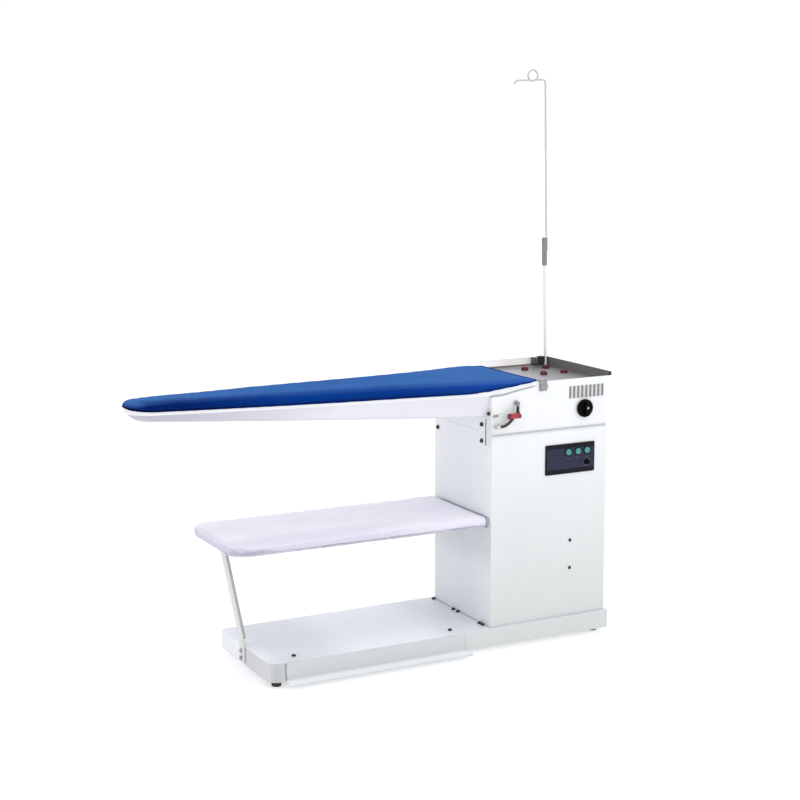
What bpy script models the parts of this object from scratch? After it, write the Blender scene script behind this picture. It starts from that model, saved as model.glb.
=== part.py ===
# Industrial ironing table: suction board on a control cabinet, with foot pedal,
# garment shelf, iron tray and hose mast.
#
# Lengths are written in millimetres in a working frame whose x = 0 is the cabinet's
# left face (+x runs towards the cabinet's right side, -x towards the board's nose),
# y grows from the front to the back and z = 0 is the floor. add() turns them into
# metres around the origin under the middle of the table.
import bpy
import bmesh
import math
from mathutils import Vector, Matrix

# ------------------------------------------------------------ driving dimensions
X_NOSE = -1118.0          # tip of the padded board
X_RIGHT = 443.0           # right edge of the iron tray
Y_FRONT = 66.0            # lip of the pedal
Y_BACK = 493.0            # back skirt of the base
XC = 0.5 * (X_NOSE + X_RIGHT)
YC = 0.5 * (Y_FRONT + Y_BACK)

CAB_W, CAB_Y0, CAB_Y1 = 426.5, 107.4, 471.5      # cabinet plan
BASE_X0, BASE_X1, BASE_Y0 = -755.7, 441.5, 97.7  # base plan
BASE_TOP, BASE_LOW = 77.8, 19.5                  # base sheet levels
SHEET = 2.0
Z_CAB_TOP = 690.0         # top edge of the lower cabinet
Z_CASE_LOW = 696.5        # lower edge of the top casing
Z_DECK = 813.5            # deck that carries the board
Z_CASE_TOP = 850.0        # work height, front edge of the casing
X_RISER = 165.0           # step between deck and tray housing
YB = 289.45               # centre line of board and cabinet
BOARD_END = 162.0         # right end of the board
TUB_END = -0.5            # the tub meets the cabinet's left face
TRAY_FLOOR = 835.0
GAP = 0.4

# half width of the padded board along its length
STATIONS = [(-1036, 77), (-972, 87), (-900, 97), (-800, 110), (-700, 123), (-600, 134),
            (-450, 146), (-300, 157), (-150, 169), (0, 180), (80, 184), (400, 184)]


def half_width(x):
    """Smooth curve (monotone Hermite) through the stations."""
    s = STATIONS
    n = len(s)
    sl = [(s[i + 1][1] - s[i][1]) / (s[i + 1][0] - s[i][0]) for i in range(n - 1)]
    m = [sl[0]] + [0.0 if sl[i - 1] * sl[i] <= 0 else 2 * sl[i - 1] * sl[i] / (sl[i - 1] + sl[i])
                   for i in range(1, n - 1)] + [0.0]
    for i in range(n - 1):
        if x <= s[i + 1][0] or i == n - 2:
            h = s[i + 1][0] - s[i][0]
            t = min(max((x - s[i][0]) / h, 0.0), 1.0)
            return ((2 * t**3 - 3 * t**2 + 1) * s[i][1] + (t**3 - 2 * t**2 + t) * h * m[i]
                    + (-2 * t**3 + 3 * t**2) * s[i + 1][1] + (t**3 - t**2) * h * m[i + 1])


def z_top(x):             # crown of the pad
    return 856.5 - 0.004 * x


def z_hem(x):             # lower edge of the blue cover, rising over the casing and at the nose
    z = 826.0 - 0.0118 * x
    k = max(0.0, x + 75.0)
    n = max(0.0, -1035.0 - x) / 83.0
    return z + 0.127 * k * k / (k + 18.0) + 6.5 * n * n


def z_rim(x):             # underside of the board's rim
    return 816.0 - 0.0118 * x


def z_tub(x):             # bottom of the tapered tub
    return 745.0 - 0.0577 * x


# ------------------------------------------------------------------- scene helpers
for ob in list(bpy.data.objects):
    bpy.data.objects.remove(ob, do_unlink=True)


def material(name, rgb, rough, metal=0.0, emit=0.0):
    m = bpy.data.materials.new(name)
    m.use_nodes = True
    p = m.node_tree.nodes["Principled BSDF"]
    p.inputs["Base Color"].default_value = (*rgb, 1.0)
    p.inputs["Roughness"].default_value = rough
    p.inputs["Metallic"].default_value = metal
    if emit:
        p.inputs["Emission Color"].default_value = (*rgb, 1.0)
        p.inputs["Emission Strength"].default_value = emit
    m.diffuse_color = (*rgb, 1.0)
    return m


M = {
    "paint": ((0.83, 0.85, 0.86), 0.42, 0.0), "paint_inner": ((0.62, 0.64, 0.65), 0.5, 0.0),
    "stainless": ((0.48, 0.49, 0.47), 0.33, 1.0), "zinc": ((0.55, 0.55, 0.54), 0.4, 1.0),
    "chrome": ((0.75, 0.75, 0.76), 0.15, 1.0), "brass": ((0.62, 0.47, 0.22), 0.3, 1.0),
    "rubber": ((0.02, 0.02, 0.02), 0.8, 0.0), "black_plastic": ((0.02, 0.02, 0.022), 0.4, 0.0),
    "panel": ((0.03, 0.03, 0.06), 0.35, 0.0), "green_lamp": ((0.05, 0.45, 0.33), 0.3, 0.0),
    "red_plastic": ((0.6, 0.02, 0.04), 0.35, 0.0), "red_silicone": ((0.35, 0.01, 0.015), 0.55, 0.0),
    "blue_cloth": ((0.02, 0.12, 0.42), 0.9, 0.0), "white_cloth": ((0.8, 0.81, 0.86), 0.95, 0.0),
    "grey_plastic": ((0.35, 0.35, 0.35), 0.5, 0.0), "cast": ((0.25, 0.26, 0.27), 0.6, 1.0),
    "heater": ((0.2, 0.2, 0.21), 0.4, 1.0), "spring": ((0.4, 0.4, 0.41), 0.3, 1.0),
}


def mat_for(node, kind):
    rgb, rough, metal = M[kind]
    return material(node + "_" + kind, rgb, rough, metal)


def add(name, bm, kind="paint", pivot=(0, 0, 0), smooth=None, guide=False, parent=None, rot=None):
    """Turn a millimetre bmesh into an object whose origin is the pivot."""
    pv = Vector(pivot)
    for v in bm.verts:
        v.co = (v.co - pv) * 0.001
    bmesh.ops.recalc_face_normals(bm, faces=bm.faces)
    me = bpy.data.meshes.new(name)
    bm.to_mesh(me)
    bm.free()
    if smooth:
        me.shade_smooth()
        me.set_sharp_from_angle(angle=math.radians(smooth))
    ob = bpy.data.objects.new(name, me)
    bpy.context.scene.collection.objects.link(ob)
    ob.location = ((pv.x - XC) * 0.001, (pv.y - YC) * 0.001, pv.z * 0.001)
    if rot:
        ob.rotation_euler = rot
    if guide:
        ob.hide_render = True
        ob.display_type = "WIRE"
    else:
        me.materials.append(mat_for(name, kind))
    return ob


def boolean(ob, tool, op="DIFFERENCE"):
    m = ob.modifiers.new(op.lower(), "BOOLEAN")
    m.operation = op
    m.object = tool
    m.solver = "EXACT"
    return m


def bevel(ob, width, segments=2, angle=40):
    m = ob.modifiers.new("edge", "BEVEL")
    m.width = width * 0.001
    m.segments = segments
    m.limit_method = "ANGLE"
    m.angle_limit = math.radians(angle)
    m.use_clamp_overlap = True
    return m


def new():
    return bmesh.new()


def box(bm, x0, x1, y0, y1, z0, z1):
    mat = Matrix.Translation(((x0 + x1) / 2, (y0 + y1) / 2, (z0 + z1) / 2)) @ Matrix.Diagonal(
        (abs(x1 - x0), abs(y1 - y0), abs(z1 - z0), 1.0))
    bmesh.ops.create_cube(bm, size=1.0, matrix=mat)
    return bm


def prism(bm, pts, axis, a, b):
    """Extrude a polygon. axis 0: pts are (y, z); 1: (x, z); 2: (x, y)."""
    def put(p, t):
        return (t, p[0], p[1]) if axis == 0 else (p[0], t, p[1]) if axis == 1 else (p[0], p[1], t)
    face = bm.faces.new([bm.verts.new(put(p, a)) for p in pts])
    res = bmesh.ops.extrude_face_region(bm, geom=[face])
    d = [0, 0, 0]
    d[axis] = b - a
    bmesh.ops.translate(bm, vec=d, verts=[g for g in res["geom"] if isinstance(g, bmesh.types.BMVert)])
    return bm


def lathe(bm, prof, centre, axis="z", n=24, closed=False):
    """Spin a profile of (radius, height) pairs about an axis through the centre."""
    c = Vector(centre)
    u, w = {"z": (Vector((1, 0, 0)), Vector((0, 0, 1))), "y": (Vector((1, 0, 0)), Vector((0, 1, 0))),
            "x": (Vector((0, 1, 0)), Vector((1, 0, 0)))}[axis]
    vs = [bm.verts.new(c + u * r + w * t) for r, t in prof]
    es = [bm.edges.new((vs[i], vs[i + 1])) for i in range(len(vs) - 1)]
    if closed:
        es.append(bm.edges.new((vs[-1], vs[0])))
    bmesh.ops.spin(bm, geom=vs + es, cent=c, axis=w, angle=math.tau, steps=n, use_merge=True)
    bmesh.ops.remove_doubles(bm, verts=bm.verts, dist=0.003)
    bmesh.ops.dissolve_degenerate(bm, edges=bm.edges, dist=0.001)
    return bm


def cyl(bm, centre, axis, r, a, b, n=20):
    """Cylinder from a to b along the axis through the centre."""
    return lathe(bm, [(0, a), (r, a), (r, b), (0, b)], centre, axis, n)


def rounded(x0, x1, y0, y1, radii, seg=4):
    """Rounded rectangle; radii for the corners (x0,y0), (x1,y0), (x1,y1), (x0,y1)."""
    out = []
    for cx, cy, r, a0 in ((x0, y0, radii[0], 180), (x1, y0, radii[1], 270), (x1, y1, radii[2], 0), (x0, y1, radii[3], 90)):
        ox = cx + r if cx == x0 else cx - r
        oy = cy + r if cy == y0 else cy - r
        if r <= 0:
            out.append((cx, cy))
            continue
        for k in range(seg + 1):
            a = math.radians(a0 + 90.0 * k / seg)
            out.append((ox + r * math.cos(a), oy + r * math.sin(a)))
    return out


def loft(bm, loops, ring=False):
    """Skin a list of equal loops; ring=True joins the last loop to the first."""
    rows = [[bm.verts.new(p) for p in lp] for lp in loops]
    n = len(rows[0])
    pairs = list(zip(rows, rows[1:])) + ([(rows[-1], rows[0])] if ring else [])
    for a, b in pairs:
        for i in range(n):
            j = (i + 1) % n
            bm.faces.new((a[i], a[j], b[j], b[i]))
    if not ring:
        bm.faces.new(rows[0])
        bm.faces.new(list(reversed(rows[-1])))
    return bm


def wire(name, pts, radius, kind, res=2, parent=None, pivot=(0, 0, 0)):
    """Round bar along a smooth run of points."""
    cu = bpy.data.curves.new(name, "CURVE")
    cu.dimensions = "3D"
    cu.bevel_depth = radius * 0.001
    cu.bevel_resolution = res
    cu.use_fill_caps = True
    sp = cu.splines.new("POLY")
    sp.points.add(len(pts) - 1)
    pv = Vector(pivot)
    for q, p in zip(sp.points, pts):
        q.co = (*((Vector(p) - pv) * 0.001), 1.0)
    ob = bpy.data.objects.new(name, cu)
    bpy.context.scene.collection.objects.link(ob)
    ob.location = ((pv.x - XC) * 0.001, (pv.y - YC) * 0.001, pv.z * 0.001)
    cu.materials.append(mat_for(name, kind))
    return ob


# ------------------------------------------------------------------------- board
def contour(x_end, corner, end_fixed=False):
    """Half outline of the board from the nose tip to the right end: (x, h, nx, nh)."""
    pts = []
    a, b, xc = -1036 - X_NOSE, half_width(-1036), -1036.0
    for k in range(7):
        t = math.radians(90 * k / 7.0)
        pts.append((xc - a * math.cos(t), b * math.sin(t)))
    xs = [-1036, -1004, -972, -900, -800, -700, -600, -450, -300, -150, -75, -40, 0, 46, 100, 128]
    for x in xs:
        if x < x_end - corner - 1:
            pts.append((x, half_width(x)))
    hw = half_width(x_end - corner)
    if corner > 0:
        for k in range(6):
            t = math.radians(90 * k / 5.0)
            pts.append((x_end - corner + corner * math.sin(t), hw - corner + corner * math.cos(t)))
        tail = [(x_end, (hw - corner) * 0.5), (x_end, 0.0)]
    else:
        pts.append((x_end, hw))
        tail = [(x_end, hw * 0.5), (x_end, 0.0)]
    body = len(pts)
    pts += tail
    out = []
    for i, (x, h) in enumerate(pts):
        if i == 0:
            nx, nh = -1.0, 0.0
        elif i >= body:
            nx, nh = (0.0, 0.0) if end_fixed else (1.0, 0.0)
        elif end_fixed and i == body - 1:
            nx, nh = 0.0, 1.0
        else:
            p, q = pts[i - 1], pts[i + 1]
            dx, dh = q[0] - p[0], q[1] - p[1]
            ln = math.hypot(dx, dh)
            nx, nh = -dh / ln, dx / ln
        out.append((x, h, nx, nh))
    return out


def board_loop(halves, inset, zf, x_shift=0.0):
    """Full closed loop at an inset from the outline, z given by a function of x."""
    loop = []
    for side, half in zip((-1.0, 1.0), halves):
        run = []
        for i, (x, h, nx, nh) in enumerate(half):
            X = x - inset * nx
            H = h - inset * nh
            if nx == 0.0 and nh == 0.0:
                H = h * max(0.0, 1.0 - inset / max(half[len(half) - 3][1], 1.0))
                X = x
            if X > half[-1][0] - 0.01 and x_shift:
                X -= x_shift
            if side < 0 or i not in (0, len(half) - 1):
                run.append((X, YB + side * H, zf(X)))
        loop += run if side < 0 else run[::-1]
    return loop


full = (contour(BOARD_END, 16.0), contour(BOARD_END, 46.0))
tub_c = (contour(TUB_END, 0.0, end_fixed=True),) * 2


def between(k, drop=0.0):
    return lambda x: z_hem(x) + 0.4 + (z_top(x) - z_hem(x) - 0.4) * k - drop


# padded cover: soft outer edge over the rim, plug down to the perforated plate
bm = new()
loft(bm, [board_loop(full, 12.5, z_top), board_loop(full, 3.2, between(0.88)), board_loop(full, 0.8, between(0.64)),
          board_loop(full, 0.4, between(0.34)), board_loop(full, 0.8, between(0.0)),
          board_loop(full, 7.5, between(0.0)), board_loop(full, 7.9, lambda x: z_rim(x) + 5.0)])
pad = add("board_pad", bm, "blue_cloth", smooth=40)

# white edge band: wall with a ledge for the plate
bm = new()
loft(bm, [board_loop(full, 4.5, z_rim), board_loop(full, 4.5, lambda x: z_hem(x) - 0.1),
          board_loop(full, 7.0, lambda x: z_hem(x) - 0.1), board_loop(full, 7.0, lambda x: z_rim(x) + 2.5),
          board_loop(full, 14.5, lambda x: z_rim(x) + 2.5), board_loop(full, 14.5, z_rim)], ring=True)
rim = add("board_rim", bm, "paint", smooth=40)

# perforated plate
bm = new()
loft(bm, [board_loop(full, 7.6, lambda x: z_rim(x) + 4.5), board_loop(full, 7.6, lambda x: z_rim(x) + 3.0)])
plate = add("board_plate", bm, "stainless")
bm = new()
for i in range(11):
    x = -940 + i * 95
    for dy in (-64, 0, 64):
        if abs(dy) + 40 < half_width(x) - 6:
            box(bm, x - 30, x + 30, YB + dy - 4, YB + dy + 4, 790, 850)
boolean(plate, add("plate_slots", bm, guide=True))

# tapered tub under the board, open to the cabinet through a window in its end wall
z_lip = lambda x: z_rim(x) - 0.4
bm = new()
loft(bm, [board_loop(tub_c, 34, z_tub), board_loop(tub_c, 22, lambda x: z_tub(x) + 7), board_loop(tub_c, 10.5, z_lip),
          board_loop(tub_c, 12.8, z_lip, 2.0), board_loop(tub_c, 24, lambda x: z_tub(x) + 9, 2.0),
          board_loop(tub_c, 35, lambda x: z_tub(x) + 2, 2.0)])
tub = add("board_tub", bm, "paint", smooth=35)
bm = box(new(), -20, 20, YB - 90, YB + 90, 757, 800)
win = add("duct_window", bm, guide=True)
boolean(tub, win)

# heating element: hairpin along the tub, tails turned down at the cabinet end
pts = [(-24, YB - 52, 786), (-25, YB - 52, 796), (-30, YB - 52, 804), (-40, YB - 52, 808)]
for k in range(9):
    pts.append((-120 - 90 * k, YB - 52 + 1.0 * k, 808))
for k in range(1, 8):
    a = math.pi * k / 8
    pts.append((-850 - 40 * math.sin(a), YB - 44 * math.cos(a), 808))
for k in range(8, -1, -1):
    pts.append((-120 - 90 * k, YB + 52 - 1.0 * k, 808))
pts += [(-40, YB + 52, 808), (-30, YB + 52, 804), (-25, YB + 52, 796), (-24, YB + 52, 786)]
wire("board_heater", pts, 3.6, "heater", res=2)

# -------------------------------------------------------------------- top casing
W = CAB_W
bm = new()
prism(bm, [(0, Z_CASE_LOW), (W, Z_CASE_LOW), (W, Z_CASE_TOP), (X_RISER, Z_CASE_TOP), (X_RISER, Z_DECK), (0, Z_DECK)],
      1, CAB_Y0, CAB_Y1)
casing = add("top_casing", bm, "paint")
bm = new()
prism(bm, [(SHEET, Z_CASE_LOW - 5), (W - SHEET, Z_CASE_LOW - 5), (W - SHEET, Z_CASE_TOP + 5), (X_RISER + 2, Z_CASE_TOP + 5),
           (X_RISER + 2, Z_DECK - SHEET), (SHEET, Z_DECK - SHEET)], 1, CAB_Y0 + SHEET, CAB_Y1 - SHEET)
boolean(casing, add("casing_hollow", bm, guide=True))
cheek = [(0.5, Z_DECK - 1), (0.5, Z_DECK + 0.3), (30, Z_DECK + 1.0), (50, 816.8), (64, 819.6), (82, 823.2), (100, 826.4), (118, 829.2), (136, 831.8),
         (152, 834.6), (160, 839.5), (X_RISER + 1, Z_CASE_TOP), (X_RISER + 1, Z_DECK - 1)]
bm = new()
prism(bm, cheek, 1, CAB_Y0, CAB_Y0 + SHEET)
prism(bm, cheek, 1, CAB_Y1 - SHEET, CAB_Y1)
boolean(casing, add("casing_cheeks", bm, guide=True), "UNION")
bm = new()
for i in range(9):
    x = 285.5 + 15.2 * i
    box(bm, x - 4.2, x + 4.2, CAB_Y0 - 3, CAB_Y0 + 5, 787, 826)
cyl(bm, (338, CAB_Y0, 753), "y", 5.5, -3, 5, 16)
cyl(bm, (83, CAB_Y0, 791), "y", 6.0, -3, 5, 16)
box(bm, -3, 5, YB - 90, YB + 90, 757, 800)
boolean(casing, add("casing_cuts", bm, guide=True))

# recessed frame that joins casing and cabinet, seen in the seam
fx0, fx1, fy0, fy1 = SHEET + GAP, W - SHEET - GAP, CAB_Y0 + SHEET + GAP, CAB_Y1 - SHEET - GAP
bm = new()
lp = [(fx0, fy0), (fx1, fy0), (fx1, fy1), (fx0, fy1)]
li = [(fx0 + 3, fy0 + 3), (fx1 - 3, fy0 + 3), (fx1 - 3, fy1 - 3), (fx0 + 3, fy1 - 3)]
loft(bm, [[(x, y, 674) for x, y in lp], [(x, y, 718) for x, y in lp], [(x, y, 718) for x, y in li], [(x, y, 674) for x, y in li]], ring=True)
jf = add("joint_frame", bm, "paint_inner")
# its web is the floor of the suction plenum
bm = box(new(), fx0 + 1.5, fx1 - 1.5, fy0 + 1.5, fy1 - 1.5, 708.0, 710.0)
boolean(jf, add("plenum_floor", bm, guide=True), "UNION")
FX, FY = 213.0, 290.0
boolean(jf, add("plenum_hole", cyl(new(), (FX, FY, 709), "z", 57, -10, 10, 18), guide=True))

# ------------------------------------------------------------------------ cabinet
bm = box(new(), 0, W, CAB_Y0, CAB_Y1, BASE_TOP + 0.4, Z_CAB_TOP)
cab = add("cabinet_shell", bm, "paint")
bm = box(new(), SHEET, W - SHEET, CAB_Y0 + SHEET, CAB_Y1 + 5, BASE_TOP - 5, Z_CAB_TOP + 5)
boolean(cab, add("cabinet_hollow", bm, guide=True))
# the left wall runs on up to the casing, so that the seam opens to the front only
boolean(cab, add("cabinet_left_top", box(new(), 0, SHEET, CAB_Y0, CAB_Y1, Z_CAB_TOP - 8, Z_CASE_LOW - 0.4), guide=True), "UNION")
bm = new()
box(bm, 203, 371, CAB_Y0 - 3, CAB_Y0 + 5, 556, 634)
for z in (327, 236):
    cyl(bm, (293, CAB_Y0, z), "y", 2.8, -3, 5, 12)
for y, z in ((449, 664), (167, 720), (167, 668)):
    if z < Z_CAB_TOP:
        cyl(bm, (0, y, z), "x", 2.8, -3, 5, 12)
boolean(cab, add("cabinet_cuts", bm, guide=True))

bm = box(new(), SHEET + GAP, W - SHEET - GAP, CAB_Y1 - SHEET, CAB_Y1 - 0.2, BASE_TOP + 0.4, 661.5)
back = add("cabinet_back_panel", bm, "paint")
bm = new()
for i in range(8):
    box(bm, 150, 276, CAB_Y1 - 6, CAB_Y1 + 5, 400 + 15 * i, 406 + 15 * i)
cyl(bm, (372, CAB_Y1, 132), "y", 8.6, -6, 5, 16)
boolean(back, add("back_cuts", bm, guide=True))
# cable gland: body, hexagon and dome with a through hole
bm = new()
lathe(bm, [(4.2, -12), (8.2, -12), (8.2, 0.2), (12.5, 0.2), (12.5, 6), (10, 7), (9, 13), (6, 15.5), (4.2, 15.5)],
      (372, CAB_Y1, 132), "y", 12, closed=True)
add("cable_gland", bm, "black_plastic", smooth=40)

# ------------------------------------------------------------- fan in the cabinet
Z0, Z1 = 480.0, 572.0
bm = cyl(new(), (FX, FY, 0), "z", 112, Z0, Z1, 22)
fan = add("fan_housing", bm, "zinc", smooth=40)
bm = box(new(), FX - 62, FX + 62, FY + 40, CAB_Y1 - 2.6, Z0 + 0.5, Z1 - 0.5)
boolean(fan, add("fan_neck", bm, guide=True), "UNION")
bm = cyl(new(), (FX, FY, 0), "z", 109.5, Z0 + 3, Z1 - 3, 22)
boolean(fan, add("fan_hollow", bm, guide=True))
bm = box(new(), FX - 59, FX + 59, FY + 60, CAB_Y1 + 5, Z0 + 3.5, Z1 - 3.5)
boolean(fan, add("fan_outlet", bm, guide=True))
bm = cyl(new(), (FX, FY, 0), "z", 52, Z1 - 10, Z1 + 10, 18)
cyl(bm, (FX, FY, 0), "z", 10, Z0 - 10, Z0 + 10, 16)
boolean(fan, add("fan_openings", bm, guide=True))
# duct from the plenum down to the fan
bm = lathe(new(), [(52.2, Z1 - 1.5), (55.5, Z1 - 1.5), (55.5, 722), (52.2, 722)], (FX, FY, 0), "z", 18, closed=True)
boolean(fan, add("suction_duct", bm, guide=True), "UNION")
# motor with a bore for the shaft
bm = lathe(new(), [(0, 352), (58, 352), (62, 356), (62, 462), (58, 466), (30, 467), (30, 478.5), (7, 478.5), (7, 440), (0, 440)],
           (FX, FY, 0), "z", 16)
add("fan_motor", bm, "cast", smooth=40)
# impeller: shaft, hub, back disc and backward curved blades
bm = lathe(new(), [(0, 441), (6, 441), (6, 490), (96, 490), (96, 492.5), (20, 492.5), (14, 500), (14, 532), (0, 534)], (FX, FY, 0), "z", 16)
imp = add("fan_impeller", bm, "zinc", pivot=(FX, FY, 486), smooth=40)
bm = new()
for k in range(9):
    a0 = math.tau * k / 9
    pin, pout = [], []
    for j in range(5):
        r = 34 + 14.5 * j
        a = a0 - 0.55 * (j / 4.0) ** 1.1
        tx, ty = math.cos(a), math.sin(a)
        pin.append((FX + r * tx - 0.9 * -ty, FY + r * ty - 0.9 * tx))
        pout.append((FX + r * tx + 0.9 * -ty, FY + r * ty + 0.9 * tx))
    prism(bm, pin + pout[::-1], 2, 491, 545)
blades = add("impeller_blades", bm, pivot=(FX, FY, 486), guide=True)
boolean(imp, blades, "UNION")
# bracket that carries the motor between the cabinet's walls
bm = box(new(), SHEET + GAP, W - SHEET - GAP, 205, 375, 346, 351.6)
mb = add("motor_bracket", bm, "zinc")
bm = box(new(), 12, W - 12, 200, 380, 340, 348.6)
boolean(mb, add("bracket_channel", bm, guide=True))

# ------------------------------------------------------------------ control panel
PX0, PX1, PZ0, PZ1 = 195.0, 379.0, 547.0, 643.0
bm = prism(new(), rounded(PX0, PX1, PZ0, PZ1, (3, 3, 3, 3), 2), 1, CAB_Y0 - 3.3, CAB_Y0 - 0.3)
panel = add("control_panel", bm, "panel")
SW = [(280.0, 616.0), (316.0, 616.0), (350.0, 616.5)]
bm = new()
for x, z in SW:
    lathe(bm, [(10.2, -6), (12.6, -6), (13.4, -5), (13.4, -2), (10.2, -2)], (x, CAB_Y0, z), "y", 16, closed=True)
boolean(panel, add("panel_rings", bm, guide=True), "UNION")
bm = new()
for x, z in SW:
    cyl(bm, (x, CAB_Y0, z), "y", 10.7, -12, 4, 16)
cyl(bm, (349, CAB_Y0, 579), "y", 5.2, -12, 4, 16)
boolean(panel, add("panel_holes", bm, guide=True))
# rocker switches: barrel shaped so that they tip in their rings
for i, (x, z) in enumerate(SW):
    yp = CAB_Y0 - 4.0
    prof = [(0, 7.0), (7.2, 7.0)] + [(math.sqrt(10.1**2 - t * t), t) for t in (6.0, 4.0, 2.0, 0.0, -2.0, -3.5)] + [(8.6, -4.6), (5.5, -3.9), (0, -3.4)]
    bm = lathe(new(), prof, (x, yp, z), "y", 16)
    add("switch_rocker_%d" % (i + 1), bm, "green_lamp", pivot=(x, yp, z), smooth=35, rot=(math.radians(-7), 0, 0))
# fuse cap with a driver slot
bm = lathe(new(), [(0, 12), (4.6, 12), (4.6, -3.6), (9.0, -3.6), (9.0, -8), (7.6, -11.5), (0, -11.5)], (349, CAB_Y0, 579), "y", 18)
fuse = add("fuse_cap", bm, "black_plastic", pivot=(349, CAB_Y0, 579), smooth=35)
bm = box(new(), 342.5, 355.5, CAB_Y0 - 13, CAB_Y0 - 10, 578.1, 579.9)
boolean(fuse, add("fuse_slot", bm, guide=True))
# thermostat: knob with a grip bar on a shaft, body behind the sheet
KX, KZ = 338.0, 753.0
bm = lathe(new(), [(0, 8), (3.0, 8), (3.0, -3), (28.2, -3), (28.8, -4.2), (28.8, -9), (24.5, -10.5), (23, -12), (0, -12)],
           (KX, CAB_Y0, KZ), "y", 24)
knob = add("thermostat_knob", bm, "black_plastic", pivot=(KX, CAB_Y0, KZ), smooth=35)
bm = prism(new(), [(KX - 5.5, KZ - 22.5), (KX + 5.5, KZ - 22.5), (KX + 7, KZ), (KX + 5.5, KZ + 22.5), (KX - 5.5, KZ + 22.5), (KX - 7, KZ)],
           1, CAB_Y0 - 24, CAB_Y0 - 10)
boolean(knob, add("knob_grip", bm, guide=True), "UNION")
bm = lathe(new(), [(0, 24), (21, 24), (21, 2.4), (3.4, 2.4), (3.4, 9.5), (0, 9.5)], (KX, CAB_Y0, KZ), "y", 20)
add("thermostat_body", bm, "grey_plastic", smooth=35)

# --------------------------------------------------------------------------- base
bm = prism(new(), rounded(BASE_X0, BASE_X1, BASE_Y0, Y_BACK, (34, 10, 10, 10), 5), 2, BASE_LOW, BASE_TOP)
base = add("base_pan", bm, "paint", smooth=30)
bm = prism(new(), rounded(BASE_X0 + 2, BASE_X1 - 2, BASE_Y0 + 2, Y_BACK - 2, (32, 8, 8, 8), 5), 2, BASE_LOW + 2, BASE_TOP - 2)
boolean(base, add("base_hollow", bm, guide=True))
bm = box(new(), BASE_X0 + 42, BASE_X1 - 42, BASE_Y0 + 42, Y_BACK - 42, BASE_LOW - 5, BASE_LOW + 4)
box(bm, -710.5, -94.0, BASE_Y0 - 8, BASE_Y0 + 7, BASE_LOW - 6, BASE_TOP - 2.1)
for x in (-659, -125):
    cyl(bm, (x, 145, BASE_TOP), "z", 3.4, -6, 4, 12)
for z in (60, 37):
    cyl(bm, (BASE_X0, 314, z), "x", 4.4, -5, 6, 12)
boolean(base, add("base_cuts", bm, guide=True))
FEET = {"foot_front_left": (-722, 132), "foot_front_right": (414, 152), "foot_rear_left": (-700, 464), "foot_rear_right": (400, 468)}
for n, (x, y) in FEET.items():
    bm = lathe(new(), [(0, 0), (13.5, 0), (15, 2), (15, 12), (10, 15), (10, BASE_LOW - 0.4), (0, BASE_LOW - 0.4)], (x, y, 0), "z", 20)
    add(n, bm, "rubber", smooth=35)

# -------------------------------------------------------------------------- pedal
HY, HZ = 150.0, 51.0      # hinge line of the pedal
PIV = (-400, HY, HZ)
prof = [(95.4, 75.3), (95.4, 24.5), (91.5, 21.0), (72.0, 14.8), (67.0, 15.2), (66.0, 13.6), (66.6, 12.4), (72.5, 12.2),
        (93.0, 18.6), (97.9, 23.0), (97.9, 75.3)]
bm = prism(new(), prof, 0, -702.0, -97.0)
pedal = add("pedal_plate", bm, "paint", pivot=PIV)
bm = prism(new(), [(91.4, 20.9), (72.0, 14.8), (67.0, 15.2), (66.0, 13.6), (66.6, 12.4), (72.5, 12.2), (91.9, 18.2)], 0, -100.0, -84.0)
boolean(pedal, add("pedal_lip_end", bm, pivot=PIV, guide=True), "UNION")
bm = new()
arm = [(96.5, 36), (96.5, 72), (112, 66), (138, 59.5), (150, 60), (157, 57.5), (160, 51), (157, 44.5), (150, 42), (138, 42)]
for x in (-659, -125):
    prism(bm, arm, 0, x - 1.5, x + 1.5)
box(bm, -445, -365, 96.5, 200, 34, 37)
boolean(pedal, add("pedal_arms", bm, pivot=PIV, guide=True), "UNION")
bm = cyl(new(), (-392, HY, HZ), "x", 4.45, -290, 290, 16)
boolean(pedal, add("pedal_bore", bm, pivot=PIV, guide=True))
# hinge rod through both brackets
bm = cyl(new(), (-392, HY, HZ), "x", 4.0, -286, 286, 16)
rod = add("pedal_hinge_rod", bm, "zinc", smooth=40)
for side, x in (("left", -659), ("right", -125)):
    bm = prism(new(), [(x - 14, 75.4), (x + 14, 75.4), (x + 14, 41), (x + 11, 41), (x + 11, 72.4), (x - 11, 72.4), (x - 11, 41), (x - 14, 41)],
               1, 132, 168)
    br = add("pedal_bracket_" + side, bm, "zinc")
    bm = cyl(new(), (x, HY, HZ), "x", 4.45, -30, 30, 16)
    cyl(bm, (x, 145, 74), "z", 3.4, -6, 6, 12)
    boolean(br, add("bracket_bore_" + side, bm, guide=True))
    bm = lathe(new(), [(0, 66), (3.0, 66), (3.0, BASE_TOP + 0.3), (6.6, BASE_TOP + 0.3), (6.6, BASE_TOP + 2.2), (4.4, BASE_TOP + 4.2), (0, BASE_TOP + 4.6)],
               (x, 145, 0), "z", 16)
    add("pedal_screw_" + side, bm, "black_plastic", smooth=35)
# return spring behind the hinge
pts = []
turns, n = 5.0, 10
for k in range(int(turns * n) + 1):
    a = math.tau * k / n
    t = k / (turns * n)
    zz = 38.7 + (74.0 - 38.7) * t
    pts.append((-392 + 8.5 * math.cos(a), 186 + 8.5 * math.sin(a), zz))
wire("pedal_spring", pts, 1.2, "spring", res=1)
# switch that the pedal's tongue lifts
bm = box(new(), -438, -410, 176, 190, 50, 75.4)
sw = add("pedal_switch", bm, "black_plastic")
bm = prism(new(), [(178, 50.5), (178, 42.5), (181, 40.6), (185, 40.6), (188, 42.5), (188, 50.5)], 0, -428, -420)
boolean(sw, add("switch_lever", bm, guide=True), "UNION")

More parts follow.
